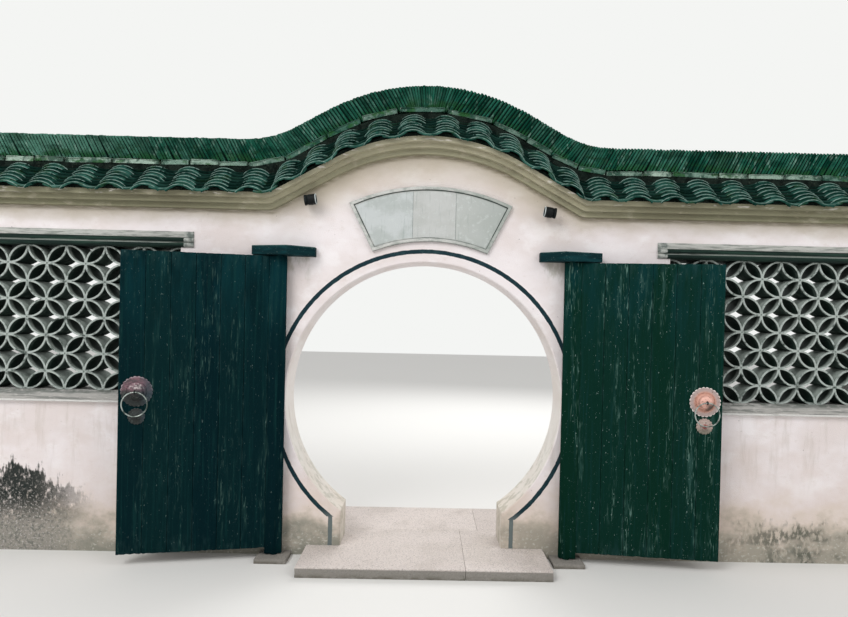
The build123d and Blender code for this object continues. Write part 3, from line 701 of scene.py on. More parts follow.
slabs = {}
for length in slab_lengths:
    slabs[length] = []
    for shape in range(3):
        corner = Vector((length / 2, slab_half_width, slab_course_thickness))
        slab = dressed_block((-corner.x, -corner.y, 0), corner, edge=0.003, cuts=9)
        dent(slab, reach=0.07, depth=0.011, shift=5.0 * shape)
        dent(slab, reach=0.02, depth=0.004, shift=3.0 * shape)
        slabs[length].append(slab)
chance = random.Random(4)
half_length = roofline_half_length(ridge_valley_radius)
slab_places = {length: [] for length in slab_lengths}
start = -half_length
while start < half_length - slab_joint:
    length = chance.choice(slab_lengths)
    shown = min(length, half_length - start)
    if half_length - start - shown < shortest_slab:
        shown = half_length - start
    x, z, slope = roofline(start + shown / 2, slab_course_height, ridge_valley_radius)
    thickness = 1 - slab_thinning * chance.random()
    fitted = (shown - slab_joint) / length
    slab_places[length].append(
        Matrix.Translation((x, slab_shift * chance.uniform(-1, 1), z + slab_step * chance.uniform(-1, 1)))
        @ Matrix.Rotation(-slope + slab_tilt * chance.uniform(-1, 1), 4, "Y")
        @ Matrix.Rotation(slab_turn * chance.uniform(-1, 1), 4, "Z")
        @ Matrix.Diagonal((fitted, slab_width_share - slab_narrowing * chance.random(), thickness, 1))
    )
    start += shown


def saw_off_ends(piece, inset):
    """Cut a course off square, a little inside the ends of the wall."""
    pick(piece)
    bpy.ops.object.mode_set(mode="EDIT")
    for side in (-1, 1):
        cut = (side * (wall_end - inset), 0, 0)
        bpy.ops.mesh.select_all(action="SELECT")
        bpy.ops.mesh.bisect(plane_co=cut, plane_no=(side, 0, 0), use_fill=True, clear_outer=True)
    bpy.ops.object.mode_set(mode="OBJECT")


slab_course = join_pieces("ridge_slabs", [
    lay_copies(f"slabs_{round(1000 * length)}", slabs[length], slab_places[length], round(1000 * length))
    for length in slab_lengths
])
for shapes in slabs.values():
    clear_away(shapes)
saw_off_ends(slab_course, inset=0.001)

# Split stone: pale grey-green and darker over the arch, rough from the chisel, with moss and
# dark damp in its hollows.
split_stone, tree, shader = start_material("split_stone", 0.92, specular=0.08)
tone_mark = add_node(tree, "Attribute", output="Fac", attribute_name="tone")
out = distance(tree, place_axes(tree)["X"])
tone = coats(
    tree, "#618375",
    ("#A7BBAD", 1.0, tone_mark),
    ("#2A5548", 0.65, fade(tree, out, 1.7, 1.0)),
    ("#123D2F", 0.8, patches(tree, (70, 70, 60), 0.46, 0.6, 7.0)),
    ("#B4C2B5", 0.5, patches(tree, (20, 20, 20), 0.58, 0.68, 6.0)),
    ("#2B5A2C", 0.8, patches(tree, (170, 110, 80), 0.54, 0.62, 8.0)),
)
surface(tree, shader, tone, relief(tree, (16, 16, 16), 6.0), 0.006)
hand_over(slab_course, split_stone, "wall", "ridge_slab", "ridge_slab_course")

# Ridge
# Hundreds of curved tiles stood on edge close together, all leaning out from the crown of the
# gate, where a few fan out to close the gap.  The end ones are cut off with the wall, and the
# cut is pointed up with mortar.
ridge_bottom = slab_course_height + slab_course_thickness
ridge_tile_height = 0.172
ridge_tile_pitch = 0.0235
ridge_tile_thickness = 0.015
ridge_lean = radians(28)
ridge_fan = 0.24
ridge_half_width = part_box("ridge")[1].y
ridge_tile_width = 2 * ridge_half_width - 0.006
ridge_tile_rise = 0.026
ridge_tile_length = ridge_tile_height / cos(ridge_lean) - 0.010
pale_edge_out = 0.07
# The row runs on past the wall's ends, to be sawn off there.  Tiles stand closer in the fan, and
# those on a slope lean part of the way with it
ridge_overrun = 0.12
fan_closing = 0.3
slope_lean = 0.65
# How far the tiles stray: now and then a group leans, and each tile leans, sinks and shifts
group_chance, group_stray = 0.14, radians(2.5)
lean_stray, shift_stray = radians(1.2), 0.002
least_drop, drop_stray = 0.007, 0.005
length_stray = 0.03
pointing_depth = 0.029
ridge_tiles = []
for shape in range(3):
    tile = curved_tile(ridge_tile_width, ridge_tile_rise, ridge_tile_thickness, ridge_tile_length, steps=3)
    tile.data.transform(
        Matrix.Rotation(pi / 2, 4, "Z") @ Matrix.Rotation(-pi / 2, 4, "X") @ Matrix.Rotation(pi, 4, "Y")
    )
    mark_rim(tile, lambda spot: (0.3 + 0.3 * shape) if abs(spot.y) > pale_edge_out else 0.0)
    ridge_tiles.append(tile)
bedding_high = Vector((ridge_tile_pitch * 0.6, ridge_half_width - 0.016, -0.009))
bedding = start_mesh(
    bpy.ops.mesh.primitive_cube_add, size=1, location=(0, 0, (bedding_high.z - ridge_tile_length) / 2),
)
bpy.ops.transform.resize(value=(2 * bedding_high.x, 2 * bedding_high.y, ridge_tile_length + bedding_high.z))
bpy.ops.mesh.bevel(offset=0.003)
close_mesh()
# The bedding between the tiles is marked below 0, to be painted near black as shade
mark_rim(bedding, lambda spot: -1.0)

half_length = roofline_half_length(ridge_valley_radius) + ridge_overrun
chance = random.Random(6)
ridge_places = []
group_lean = 0.0
along = -half_length
while along < half_length:
    fanned = max(0.0, 1 - abs(along) / ridge_fan)
    along += ridge_tile_pitch * (1 - fan_closing * fanned)
    x, z, slope = roofline(along, ridge_bottom, ridge_valley_radius)
    if chance.random() < group_chance:
        group_lean = group_stray * chance.uniform(-1, 1)
    lean = ridge_lean * max(-1, min(1, along / ridge_fan)) + slope_lean * slope
    lean += group_lean + lean_stray * chance.uniform(-1, 1)
    drop = least_drop + drop_stray * chance.random()
    ridge_places.append(
        Matrix.Translation((x, 0, z))
        @ Matrix.Rotation(-slope, 4, "Y")
        @ Matrix.Translation((0, shift_stray * chance.uniform(-1, 1), ridge_tile_height - drop))
        @ Matrix.Rotation(lean, 4, "Y")
        @ Matrix.Diagonal((1, 1, 1 - length_stray * chance.random(), 1))
    )
ridge = join_pieces("ridge_tiles", [
    lay_copies("tiles_on_edge", ridge_tiles, ridge_places, 7),
    lay_copies("bedding", [bedding], ridge_places, 8),
])
clear_away((*ridge_tiles, bedding))
saw_off_ends(ridge, inset=0.006)
pointing_width = ridge_half_width - 0.007
pointing_top = ridge_bottom + ridge_tile_height - 0.018
for side in (-1, 1):
    middle = side * (wall_end - 0.015)
    pointing = dressed_block(
        (middle - pointing_depth / 2, -pointing_width, ridge_bottom + 0.003),
        (middle + pointing_depth / 2, pointing_width, pointing_top),
        edge=0.004, cuts=6,
    )
    dent(pointing, reach=0.03, depth=0.003, shift=side)
    ridge = join_pieces("ridge_tiles", [ridge, pointing])

# The same clay on edge: dark, with painted light that makes it paler towards the left end,
# lighter edges group by group, moss along its foot, and painted shade, near black, on the bedding.
ridge_clay, tree, shader = start_material("ridge_clay", 0.95, specular=0.03)
tone_mark = add_node(tree, "Attribute", output="Fac", attribute_name="tone")
rim_mark = add_node(tree, "Attribute", output="Fac", attribute_name="rim")
x = place_axes(tree)["X"]
foot = fade(tree, below_roofline(tree), -0.445, -0.375)
# The coat towards the left end is painted light, and the last coat is painted shade on the bedding
tone = coats(
    tree, "#022F23",
    ("#1F5B4A", 1.0, tone_mark),
    ("#628E7D", 0.66, fade(tree, x, -1.7, -2.8)),
    ("#4F8070", 0.85, rim_mark, patches(tree, (160, 160, 400), 0.4, 0.62, 3.0)),
    ("#93B1A3", 0.7, rim_mark, patches(tree, (30, 30, 90), 0.54, 0.66, 5.0)),
    ("#02291D", 0.6, patches(tree, (160, 160, 60), 0.48, 0.64, 4.0)),
    ("#22502E", 0.85, foot, patches(tree, (90, 90, 60), 0.42, 0.55, 8.0)),
    ("#27452A", 0.4, patches(tree, (200, 200, 90), 0.56, 0.66, 7.0)),
    ("#071A15", 1.0, fade(tree, rim_mark, -0.4, -0.6)),
)
surface(tree, shader, tone, relief(tree, (12, 12, 30), 3.0), 0.003)
hand_over(ridge, ridge_clay, "wall", "roof_tile", "ridge")

# Window lintels and sills
# Each lintel is a rendered beam with two rolls run along it, painted dark across the window with
# a pale band over them.  Each sill is a rendered ledge that slopes to shed rain.
lintel_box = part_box("left_window_lintel")
sill_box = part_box("left_window_sill")
window_inner_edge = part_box("right_window_lattice")[0].x
roll_joint = lintel_box[0].z + 0.0345
roll_top = lintel_box[0].z + 0.070


def eased_copy(node, name, edge):
    """A copy of a plain solid of the frame with its sharp arrises eased."""
    piece = bpy.data.objects.new(name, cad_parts[node].data.copy())
    bpy.context.scene.collection.objects.link(piece)
    pick(piece)
    bpy.ops.object.mode_set(mode="EDIT")
    bpy.ops.mesh.select_all(action="SELECT")
    bpy.ops.mesh.remove_doubles(threshold=0.00002)
    bpy.ops.mesh.dissolve_limited(angle_limit=radians(1))
    bpy.ops.object.mode_set(mode="OBJECT")
    ease = piece.modifiers.new("eased", "BEVEL")
    ease.width = edge
    ease.segments = 2
    ease.angle_limit = radians(40)
    bpy.ops.object.modifier_apply(modifier=ease.name)
    smooth(piece, 35)
    return piece


# Painted render: near black where the brush has gone, weathered grey where it stopped.
painted_render, tree, shader = start_material("painted_render", 0.85, specular=0.25)
x, _, z = place_axes(tree)
band = fade(tree, z, roll_top - 0.002, roll_top + 0.001)
light_line = fade(tree, distance(tree, z, roll_joint), 0.006, 0.003)
end = fade(tree, distance(tree, x), window_inner_edge - 0.021, window_inner_edge - 0.029)
bare = coats(tree, "#AEB1AC", ("#6E7672", 1.0, patches(tree, (50, 50, 34), 0.42, 0.62, 7.0)))
tone = coats(
    tree, "#0E221D",
    ("#20392F", 1.0, patches(tree, (300, 300, 14), 0.45, 0.65)),
    ("#B4BBB5", 0.85, light_line, patches(tree, (260, 260, 20), 0.3, 0.42)),
    ("#B9BAB5", 1.0, band),
    ("#767C76", 0.75, band, patches(tree, (170, 170, 16), 0.45, 0.62, 6.0)),
    (bare, 1.0, end),
)
surface(tree, shader, tone, relief(tree, (22, 22, 9)), 0.003)

# Sill render: grey and stained along the ledge, with a limewashed lower edge.
sill_render, tree, shader = start_material("sill_render", 0.92, specular=0.3)
z = place_axes(tree)["Z"]
lower_edge = fade(tree, z, sill_box[0].z + 0.017, sill_box[0].z + 0.012)
tone = coats(
    tree, "#AEACA8",
    ("#80827E", 1.0, patches(tree, (320, 320, 16), 0.42, 0.62, 5.0)),
    ("#C6C3BF", 0.6, patches(tree, (60, 60, 12), 0.52, 0.66, 5.0)),
    ("#4C554D", 0.7,
     fade(tree, z, sill_box[1].z - 0.03, sill_box[1].z), patches(tree, (70, 70, 40), 0.4, 0.6)),
    ("#E4E3E0", 0.9, lower_edge, patches(tree, (200, 200, 30), 0.25, 0.4)),
)
surface(tree, shader, tone, relief(tree, (18, 18, 10), 4.0), 0.004)
for side in ("left", "right"):
    lintel = eased_copy(f"{side}_window_lintel", f"{side}_lintel_beam", edge=0.003)
    hand_over(lintel, painted_render, "wall", "lintel_paint", f"{side}_window_lintel")
    sill = eased_copy(f"{side}_window_sill", f"{side}_sill_ledge", edge=0.005)
    hand_over(sill, sill_render, "wall", "sill_render", f"{side}_window_sill")

# Window lattices
# Curved roof tiles stood on edge between lintel and sill, two to a petal, so that they draw
# rings that overlap.  They are limewashed grey and their tips are set in dabs of mortar.
lattice_bay_width = 0.2745
lattice_bay_height = 0.257
lattice_bays = 5
lattice_storeys = 4
lattice_sagitta = 0.039
lattice_thickness = 0.013
lattice_low, lattice_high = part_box("left_window_lattice")
lattice_depth = lattice_high.y - lattice_low.y
lattice_inset = 0.0015
mortar_radius = 0.019
half_chord = hypot(lattice_bay_width, lattice_bay_height) / 4


def lattice_wash_and_shade(spot):
    """Where the limewash holds, on a tile's front edge, and where painted shade goes, on its hollow side."""
    return 1.0 if spot.y < lip_depth else -1.0 + outside(spot, 2 * half_chord, lattice_sagitta)


lattice_tiles = []
for shape in range(3):
    length = lattice_depth - 2 * lattice_inset
    tile = curved_tile(2 * half_chord, lattice_sagitta, lattice_thickness, length, steps=8, slices=3)
    mark_rim(tile, lattice_wash_and_shade)
    tile.data.transform(Matrix.Translation((0, lattice_low.y + lattice_inset, lattice_thickness / 2)))
    dent(tile, reach=0.04, depth=0.0014, shift=7.0 * shape)
    lattice_tiles.append(tile)


def round_pin(sides, radius, length, middle, edge=0.0):
    """A round pin along Y about its middle, with its arrises eased."""
    pin = start_mesh(
        bpy.ops.mesh.primitive_cylinder_add,
        vertices=sides, radius=radius, depth=length, location=middle, rotation=(pi / 2, 0, 0),
    )
    if edge:
        bpy.ops.mesh.bevel(offset=edge, segments=2)
    close_mesh()
    return pin


dab_middle = (0, (lattice_low.y + lattice_high.y) / 2, 0)
dab = round_pin(sides=10, radius=mortar_radius, length=lattice_depth - 0.012, middle=dab_middle, edge=0.004)
dent(dab, reach=0.012, depth=0.007)
mark_rim(dab, lambda spot: 1.0 if spot.y < lattice_low.y + 0.012 else 0.0)

# Limewashed tile: chalky on its front edges, with painted light on what faces up and painted shade
# on its hollow side.
limewashed_tile, tree, shader = start_material("limewashed_tile", 0.92, specular=0.12)
tone_mark = add_node(tree, "Attribute", output="Fac", attribute_name="tone")
rim_mark = add_node(tree, "Attribute", output="Fac", attribute_name="rim")
facing = add_node(tree, "NewGeometry", output="Normal")
painted_top_light = fade(tree, add_node(tree, "SeparateXYZ", (facing,), output="Z"), -0.15, 0.55)
edge = fade(tree, rim_mark, 0.75, 0.95)
# Faces turned up are painted light, and the hollow sides painted shade
tone = coats(
    tree, "#14231E",
    ("#2E3E37", 1.0, tone_mark),
    ("#A6B0A9", 0.9, painted_top_light),
    ("#5B6862", 0.5, patches(tree, (60, 60, 60), 0.5, 0.66, 6.0)),
    ("#0A221B", 0.85, fade(tree, rim_mark, 0.3, -0.6)),
    ("#B4BDB8", 0.9, edge, patches(tree, (45, 45, 45), 0.3, 0.5, 5.0)),
    ("#6F7C74", 0.7, edge, patches(tree, (24, 24, 24), 0.54, 0.66, 5.0)),
)
surface(tree, shader, tone, relief(tree, (12, 12, 12), 3.0), 0.003)
tilt = asin(lattice_bay_height / hypot(lattice_bay_width, lattice_bay_height))
for side in ("left", "right"):
    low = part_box(f"{side}_window_lattice")[0]
    tile_spots = []
    for column in range(2 * lattice_bays):
        for row in range(2 * lattice_storeys):
            across = low.x + (column + 0.5) * lattice_bay_width / 2
            middle = Vector((across, 0, low.z + (row + 0.5) * lattice_bay_height / 2))
            turn = -tilt if (column + row) % 2 == 0 else tilt
            for flip in (0, pi):
                tile_spots.append(Matrix.Translation(middle) @ Matrix.Rotation(turn + flip, 4, "Y"))
    dab_spots = [
        Matrix.Translation((low.x + column * lattice_bay_width / 2, 0, low.z + row * lattice_bay_height / 2))
        @ Matrix.Rotation(column + 2 * row, 4, "Y")
        for column in range(2 * lattice_bays + 1)
        for row in range(2 * lattice_storeys + 1)
        if (column + row) % 2 == 0
    ]
    lattice = join_pieces(f"{side}_lattice_tiles", [
        lay_copies("lattice", lattice_tiles, tile_spots, len(side)),
        lay_copies("dabs", [dab], dab_spots, len(side) + 1),
    ])
    hand_over(lattice, limewashed_tile, "wall", "lattice_tile", f"{side}_window_lattice")
clear_away((*lattice_tiles, dab))

# Plaque
# Three honed grey slabs in the shape of an open fan, inside a raised stone border with a dark
# groove cut round it.  Their faces are left bare.
plaque_low, plaque_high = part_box("plaque_frame")
plaque_middle = (plaque_low.x + plaque_high.x) / 2
plaque_arcs = ((plaque_high.z, 0.580, 0.129, 44), (plaque_low.z + 0.079, 0.409, 0.079, 32))
plaque_depth = wall_front - plaque_low.y
groove_level = 0.0165
joint_places = (plaque_middle - 0.128, plaque_middle + 0.178)


def arc_points(crown, half_width, rise, count):
    """Points along one arc of the fan, from right to left."""
    radius = (half_width**2 + rise**2) / (2 * rise)
    spread = asin(half_width / radius)
    steps = [0, *range(4, count - 4), count - 1]
    turns = [spread * (1 - 2 * step / (count - 1)) for step in steps]
    return [(plaque_middle + radius * sin(turn), crown - radius * (1 - cos(turn))) for turn in turns]


upper, lower = (arc_points(*arc) for arc in plaque_arcs)
fan = upper + lower[::-1]
border = start_mesh(bpy.ops.mesh.primitive_circle_add, vertices=len(fan), radius=1, fill_type="NGON")
bpy.ops.object.mode_set(mode="OBJECT")
for vertex, (x, z) in zip(border.data.vertices, fan):
    vertex.co = (x, z, 0)
bpy.ops.object.mode_set(mode="EDIT")
bpy.ops.mesh.extrude_region_move(TRANSFORM_OT_translate={"value": (0, 0, plaque_depth - 0.004)})
# The border's eased arris, its flat, the groove's side and floor, and the step down to the slabs
for inward, lift in (
    (0.004, 0.004), (0.017, 0), (0.002, groove_level - plaque_depth), (0.005, 0), (0.004, -0.002),
):
    bpy.ops.mesh.inset(thickness=inward, depth=lift)
bpy.ops.mesh.delete(type="FACE")
bpy.ops.object.mode_set(mode="OBJECT")
# The border's foot against the wall is marked below 0 for a painted shadow, and the groove's floor for its
# dark paint
mark_rim(border, lambda spot: -1.0 if spot.z < 0.0005 else float(abs(spot.z - groove_level) < 0.0005))
border.data.transform(Matrix.Translation((0, wall_front, 0)) @ Matrix.Rotation(pi / 2, 4, "X"))
border.name = "plaque_border"

# Honed bluestone: smooth and grey, clouded by rain, slab by slab a little different.
honed_stone, tree, shader = start_material("honed_stone", 0.6, specular=0.3)
x = place_axes(tree)["X"]
tone = coats(tree, "#C0C5C5", ("#B0B6B4", 1.0, patches(tree, (190, 190, 130), 0.42, 0.62, 5.0)))
for joint, code in zip(joint_places, ("#BCBBB7", "#B0B5B1")):
    past = add_node(tree, "Math", (x, joint), operation="GREATER_THAN")
    seam = fade(tree, distance(tree, x, joint), 0.0035, 0.001)
    tone = coats(tree, tone, (code, 0.5, past), ("#6F7B79", 0.55, seam))
tone = coats(
    tree, tone,
    ("#8F9994", 0.4, fade(tree, x, 0.15, 0.55)),
    ("#CBD1CF", 0.4, patches(tree, (30, 30, 30), 0.54, 0.68, 5.0)),
    ("#87938F", 0.4, patches(tree, (12, 12, 170), 0.58, 0.7, 6.0)),
)
surface(tree, shader, tone, relief(tree, (5, 5, 5), 2.0), 0.0008)
dress(honed_stone, "plaque_slabs")

# Border stone: paler than the slabs and weathered, with dark paint in its groove that painted shade
# deepens towards the top, and a painted shadow along its foot against the wall.
border_stone, tree, shader = start_material("border_stone", 0.75, specular=0.3)
groove = add_node(tree, "Attribute", output="Fac", attribute_name="rim")
x, _, z = place_axes(tree)
# The groove's paint is darkened towards the top by painted shade
groove_paint_and_shade = add_node(tree, "MapRange", (z, plaque_low.z + 0.09, plaque_low.z + 0.13, 0.4, 0.9))
tone = coats(
    tree, "#C4C5C1",
    ("#A1A6A1", 1.0, patches(tree, (90, 90, 40), 0.42, 0.62, 5.0)),
    ("#D6D5D1", 0.5, patches(tree, (18, 18, 18), 0.55, 0.68, 5.0)),
    ("#7F8A83", 0.5, fade(tree, x, 0.0, 0.5)),
    ("#1C2E2C", 1.0, fade(tree, groove, 0.5, 0.95), groove_paint_and_shade),
    ("#2F3B38", 0.85, fade(tree, groove, -0.1, -0.6)),
)
surface(tree, shader, tone, relief(tree, (7, 7, 7), 2.0), 0.0012)
hand_over(border, border_stone, "wall", "plaque_border", "plaque_frame")

# Landings and pivot stones
# Granite slabs split and dressed by hand, pale on top and darker on their risers, and the small
# stones beside them that the leaves turn in.
landing_low, landing_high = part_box("front_landing_slabs")
back_low, back_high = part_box("back_landing_slabs")
front_joint, cross_joint, back_joint = 0.300, -0.130, 0.440
slab_gap = 0.0008
landing_slabs = {
    "front": (
        ((landing_low.x, landing_low.y), (front_joint, landing_high.y)),
        ((front_joint + slab_gap, landing_low.y), (landing_high.x, cross_joint)),
        ((front_joint + slab_gap, cross_joint + slab_gap), (landing_high.x, landing_high.y)),
    ),
    "back": (
        ((back_low.x, back_low.y), (back_joint, back_high.y)),
        ((back_joint + slab_gap, back_low.y), (back_high.x, back_high.y)),
    ),
}

# Granite: pinkish grey with dark mica and white feldspar grains, tooled, darker down its risers.
landing_granite, tree, shader = start_material("landing_granite", 0.88, specular=0.35)
z = place_axes(tree)["Z"]
tone_mark = add_node(tree, "Attribute", output="Fac", attribute_name="tone")
tone = coats(
    tree, "#DED4CE",
    ("#D0C6C0", 1.0, tone_mark),
    ("#BFB5AD", 0.5, patches(tree, (300, 300, 300), 0.46, 0.66, 6.0)),
    ("#8D8784", 0.6, patches(tree, (9, 9, 9), 0.55, 0.64, 2.0)),
    ("#F3EEEA", 0.6, patches(tree, (10, 10, 10), 0.58, 0.67, 3.0, 3.0)),
    ("#6C6B64", 0.8, fade(tree, z, landing_high.z - 0.004, landing_high.z - 0.014)),
    ("#5F5B50", 0.8, fade(tree, z, 0.035, 0.0), patches(tree, (80, 80, 40), 0.35, 0.6, 6.0)),
)
surface(tree, shader, tone, relief(tree, (14, 14, 14), 5.0), 0.004)
for place, corners in landing_slabs.items():
    stones = []
    for index, ((left, front), (right, back)) in enumerate(corners):
        stone = dressed_block((left, front, 0), (right, back, landing_high.z), edge=0.0012, cuts=9)
        dent(stone, reach=0.22, depth=0.0014, shift=4.0 * index)
        for vertex in stone.data.vertices:
            vertex.co.z = max(vertex.co.z, 0.0)
        stones.append(stone)
    landing = join_pieces(f"{place}_landing_stones", [
        lay_copies(f"{place}_stone_{index}", [stone], [Matrix.Identity(4)], 3 * index + len(place))
        for index, stone in enumerate(stones)
    ])
    clear_away(stones)
    hand_over(landing, landing_granite, "wall", "landing_granite", f"{place}_landing_slabs")
for side in ("left", "right"):
    stone = eased_copy(f"{side}_pivot_stone", f"{side}_socket_stone", edge=0.004)
    hand_over(stone, landing_granite, "wall", "pivot_granite", f"{side}_pivot_stone")

# Leaves
# Each leaf is planks side by side, nailed to four ledges behind and to a thick pivot stile,
# painted green-black long ago.  Rain has washed the paint to teal streaks and chips.
pivot_out, pivot_front = 1.030, -0.220
leaf_angles = {"left": radians(11.25), "right": radians(7.5)}
leaf_bottom, leaf_height = 0.080, 2.040
leaf_length, stile_web = 1.027, 0.065
leaf_face = 0.0225
plank_count = 6
plank_gap = 0.001
wear_reach, top_wear, foot_wear = 0.012, 0.004, 0.010
first_ledge, ledge_pitch = 0.200, 0.540
ledge_heights = [leaf_bottom + first_ledge + ledge_pitch * ledge for ledge in range(4)]
ledge_height, ledge_thickness, ledge_setback = 0.090, 0.028, 0.040
hung = Matrix.Translation((-pivot_out, pivot_front, 0))
leaf_places = {
    "left": hung @ Matrix.Rotation(leaf_angles["left"], 4, "Z"),
    "right": Matrix.Diagonal((-1, 1, 1, 1)) @ hung @ Matrix.Rotation(leaf_angles["right"], 4, "Z"),
}
plank_width = (leaf_length - stile_web) / plank_count


def plank_wear(spot):
    """How worn a plank is at a point: most at its long edges and its two ends."""
    edge = max(0.0, 1 - (plank_width / 2 - abs(spot.x)) / wear_reach)
    end = max(0.0, 1 - min(spot.z - leaf_bottom, leaf_bottom + leaf_height - spot.z) / wear_reach)
    return min(1.0, max(0.6 * edge, 0.7 * end))


planks = []
for shape in range(4):
    plank = dressed_block(
        (-plank_width / 2, -leaf_face, leaf_bottom), (plank_width / 2, leaf_face, leaf_bottom + leaf_height),
        edge=0.0024, cuts=14,
    )
    dent(plank, reach=0.09, depth=0.0012, shift=6.0 * shape)
    for vertex in plank.data.vertices:
        ragged = max(0.0, noise.noise(Vector((40 * vertex.co.x, 9 * vertex.co.y, shape))))
        if vertex.co.z > leaf_bottom + leaf_height - 0.01:
            vertex.co.z -= top_wear * ragged
        if vertex.co.z < leaf_bottom + 0.01:
            vertex.co.z += foot_wear * ragged
    mark_rim(plank, plank_wear)
    planks.append(plank)
ledge = dressed_block(
    (-leaf_length + ledge_setback, leaf_face, -ledge_height / 2),
    (-stile_web, leaf_face + ledge_thickness, ledge_height / 2),
    edge=0.003, cuts=7,
)
dent(ledge, reach=0.08, depth=0.0012)
mark_rim(ledge, lambda spot: 0.6 if abs(spot.z) > ledge_height / 2 - 0.006 else 0.0)
# A nail's rounded head is 6 mm long, and driven in till it stands only 0.2 mm out of the ledge
nail_middle = (0, leaf_face + ledge_thickness, 0)
nail = round_pin(sides=10, radius=0.007, length=0.006, middle=nail_middle, edge=0.002)
nail_drive, nail_step, nail_slant = 0.0028, 0.022, 0.0242
mark_rim(nail, lambda spot: 1.0)

# Old oil paint on fir: green-black and nearly matt, thinned to teal in upright runs, with pale
# chips in the same runs and worn edges.  The right leaf is greener and more worn.
leaf_paint, tree, shader = start_material("leaf_paint", 0.85, specular=0.05)
x, _, z = place_axes(tree)
tone_mark = add_node(tree, "Attribute", output="Fac", attribute_name="tone")
rim_mark = add_node(tree, "Attribute", output="Fac", attribute_name="rim")
right_side = fade(tree, x, -0.2, 0.2)
bands = patches(tree, (75, 75, 700), 0.50, 0.66, 3.0, 5.0)
more = add_node(tree, "MapRange", (right_side, 0.0, 1.0, 0.4, 1.0))
worn_thin = overlap(tree, bands, patches(tree, (30, 30, 240), 0.50, 0.66, 5.0, 9.0), more)
drips = overlap(tree, bands, patches(tree, (9, 9, 85), 0.54, 0.66, 6.0, 5.0), more)
specks = overlap(tree, patches(tree, (9, 9, 20), 0.66, 0.72, 4.0), more)
tone = coats(
    tree, "#011B20",
    ("#05281D", 1.0, right_side),
    ("#08343A", 0.6, fade(tree, z, 1.3, 2.1), patches(tree, (90, 90, 500), 0.35, 0.65, 3.0)),
    ("#0B2C29", 0.35, tone_mark),
    ("#0F3433", 0.5, patches(tree, (16, 16, 500), 0.5, 0.7, 4.0, 5.0)),
    ("#2F4F49", 0.7, worn_thin),
    ("#5F8076", 0.75, drips),
    ("#8FA8A2", 0.8, specks),
    ("#2A4545", 0.7, rim_mark, patches(tree, (30, 30, 90), 0.46, 0.66, 6.0)),
)
surface(tree, shader, tone, relief(tree, (4, 4, 170), 3.0), 0.0011)
for side, place in leaf_places.items():
    chance = random.Random(side)
    spots = [
        place
        @ Matrix.Translation((-stile_web - plank_width * (index + 0.5), 0, 0))
        @ Matrix.Diagonal(((plank_width - plank_gap) / plank_width, 1, 1, 1))
        @ Matrix.Rotation(pi * chance.randrange(2), 4, "Z")
        for index in range(plank_count)
    ]
    boards = lay_copies(f"{side}_planks", planks, spots, len(side))
    hand_over(boards, leaf_paint, f"{side}_leaf", "leaf_paint", f"{side}_leaf_boards")
    ledge_spots = [place @ Matrix.Translation((0, 0, height)) for height in ledge_heights]
    nail_spots = [
        place @ Matrix.Translation((-stile_web - out, -nail_drive, height + slant))
        for height in ledge_heights
        for index in range(plank_count)
        for out, slant in (
            (plank_width * (index + 0.5) + nail_step, -nail_slant),
            (plank_width * (index + 0.5) - nail_step, nail_slant),
        )
        if out < leaf_length - stile_web - ledge_setback - 0.01
    ]
    ledges = join_pieces(f"{side}_nailed_ledges", [
        lay_copies("ledges", [ledge], ledge_spots, 2),
        lay_copies("nails", [nail], nail_spots, 3),
    ])
    hand_over(ledges, leaf_paint, f"{side}_leaf", "leaf_paint", f"{side}_leaf_ledges")
    stile = eased_copy(f"{side}_pivot_stile", f"{side}_turned_stile", edge=0.003)
    hand_over(stile, leaf_paint, f"{side}_leaf", "leaf_paint", f"{side}_pivot_stile")
clear_away((*planks, ledge, nail))

# Top brackets
# A thick timber block let into the wall over each leaf, bored for its top pin, tapered to the
# front and painted with the leaves.
bracket_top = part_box("left_top_bracket")[1].z

# The same paint, worn and dusty along its upper arris.
bracket_paint, tree, shader = start_material("bracket_paint", 0.85, specular=0.1)
z = place_axes(tree)["Z"]
tone = coats(
    tree, "#06272B",
    ("#0D373B", 1.0, patches(tree, (160, 160, 40), 0.44, 0.64, 4.0)),
    ("#456360", 0.8,
     fade(tree, z, bracket_top - 0.010, bracket_top), patches(tree, (70, 70, 30), 0.35, 0.55, 5.0)),
    ("#7C928B", 0.7, patches(tree, (9, 9, 7), 0.63, 0.7, 5.0)),
)
surface(tree, shader, tone, relief(tree, (120, 120, 5), 3.0), 0.002)
for side in ("left", "right"):
    bracket = eased_copy(f"{side}_top_bracket", f"{side}_timber_bracket", edge=0.009)
    hand_over(bracket, bracket_paint, "wall", "bracket_paint", f"{side}_top_bracket")

# Knockers
# On each leaf a plate beaten up from sheet brass into a fluted rim and a chased boss, a smaller
# one below it to strike on, and a forged steel ring that hangs in a cotter through the boss.
knocker_x, knocker_height = -leaf_length + 0.117, 1.175
striker_drop = 0.167
ring_radius, ring_wire, ring_stand = 0.080, 0.0047, 0.062
shank_stand = 0.0475
level_step = 0.001
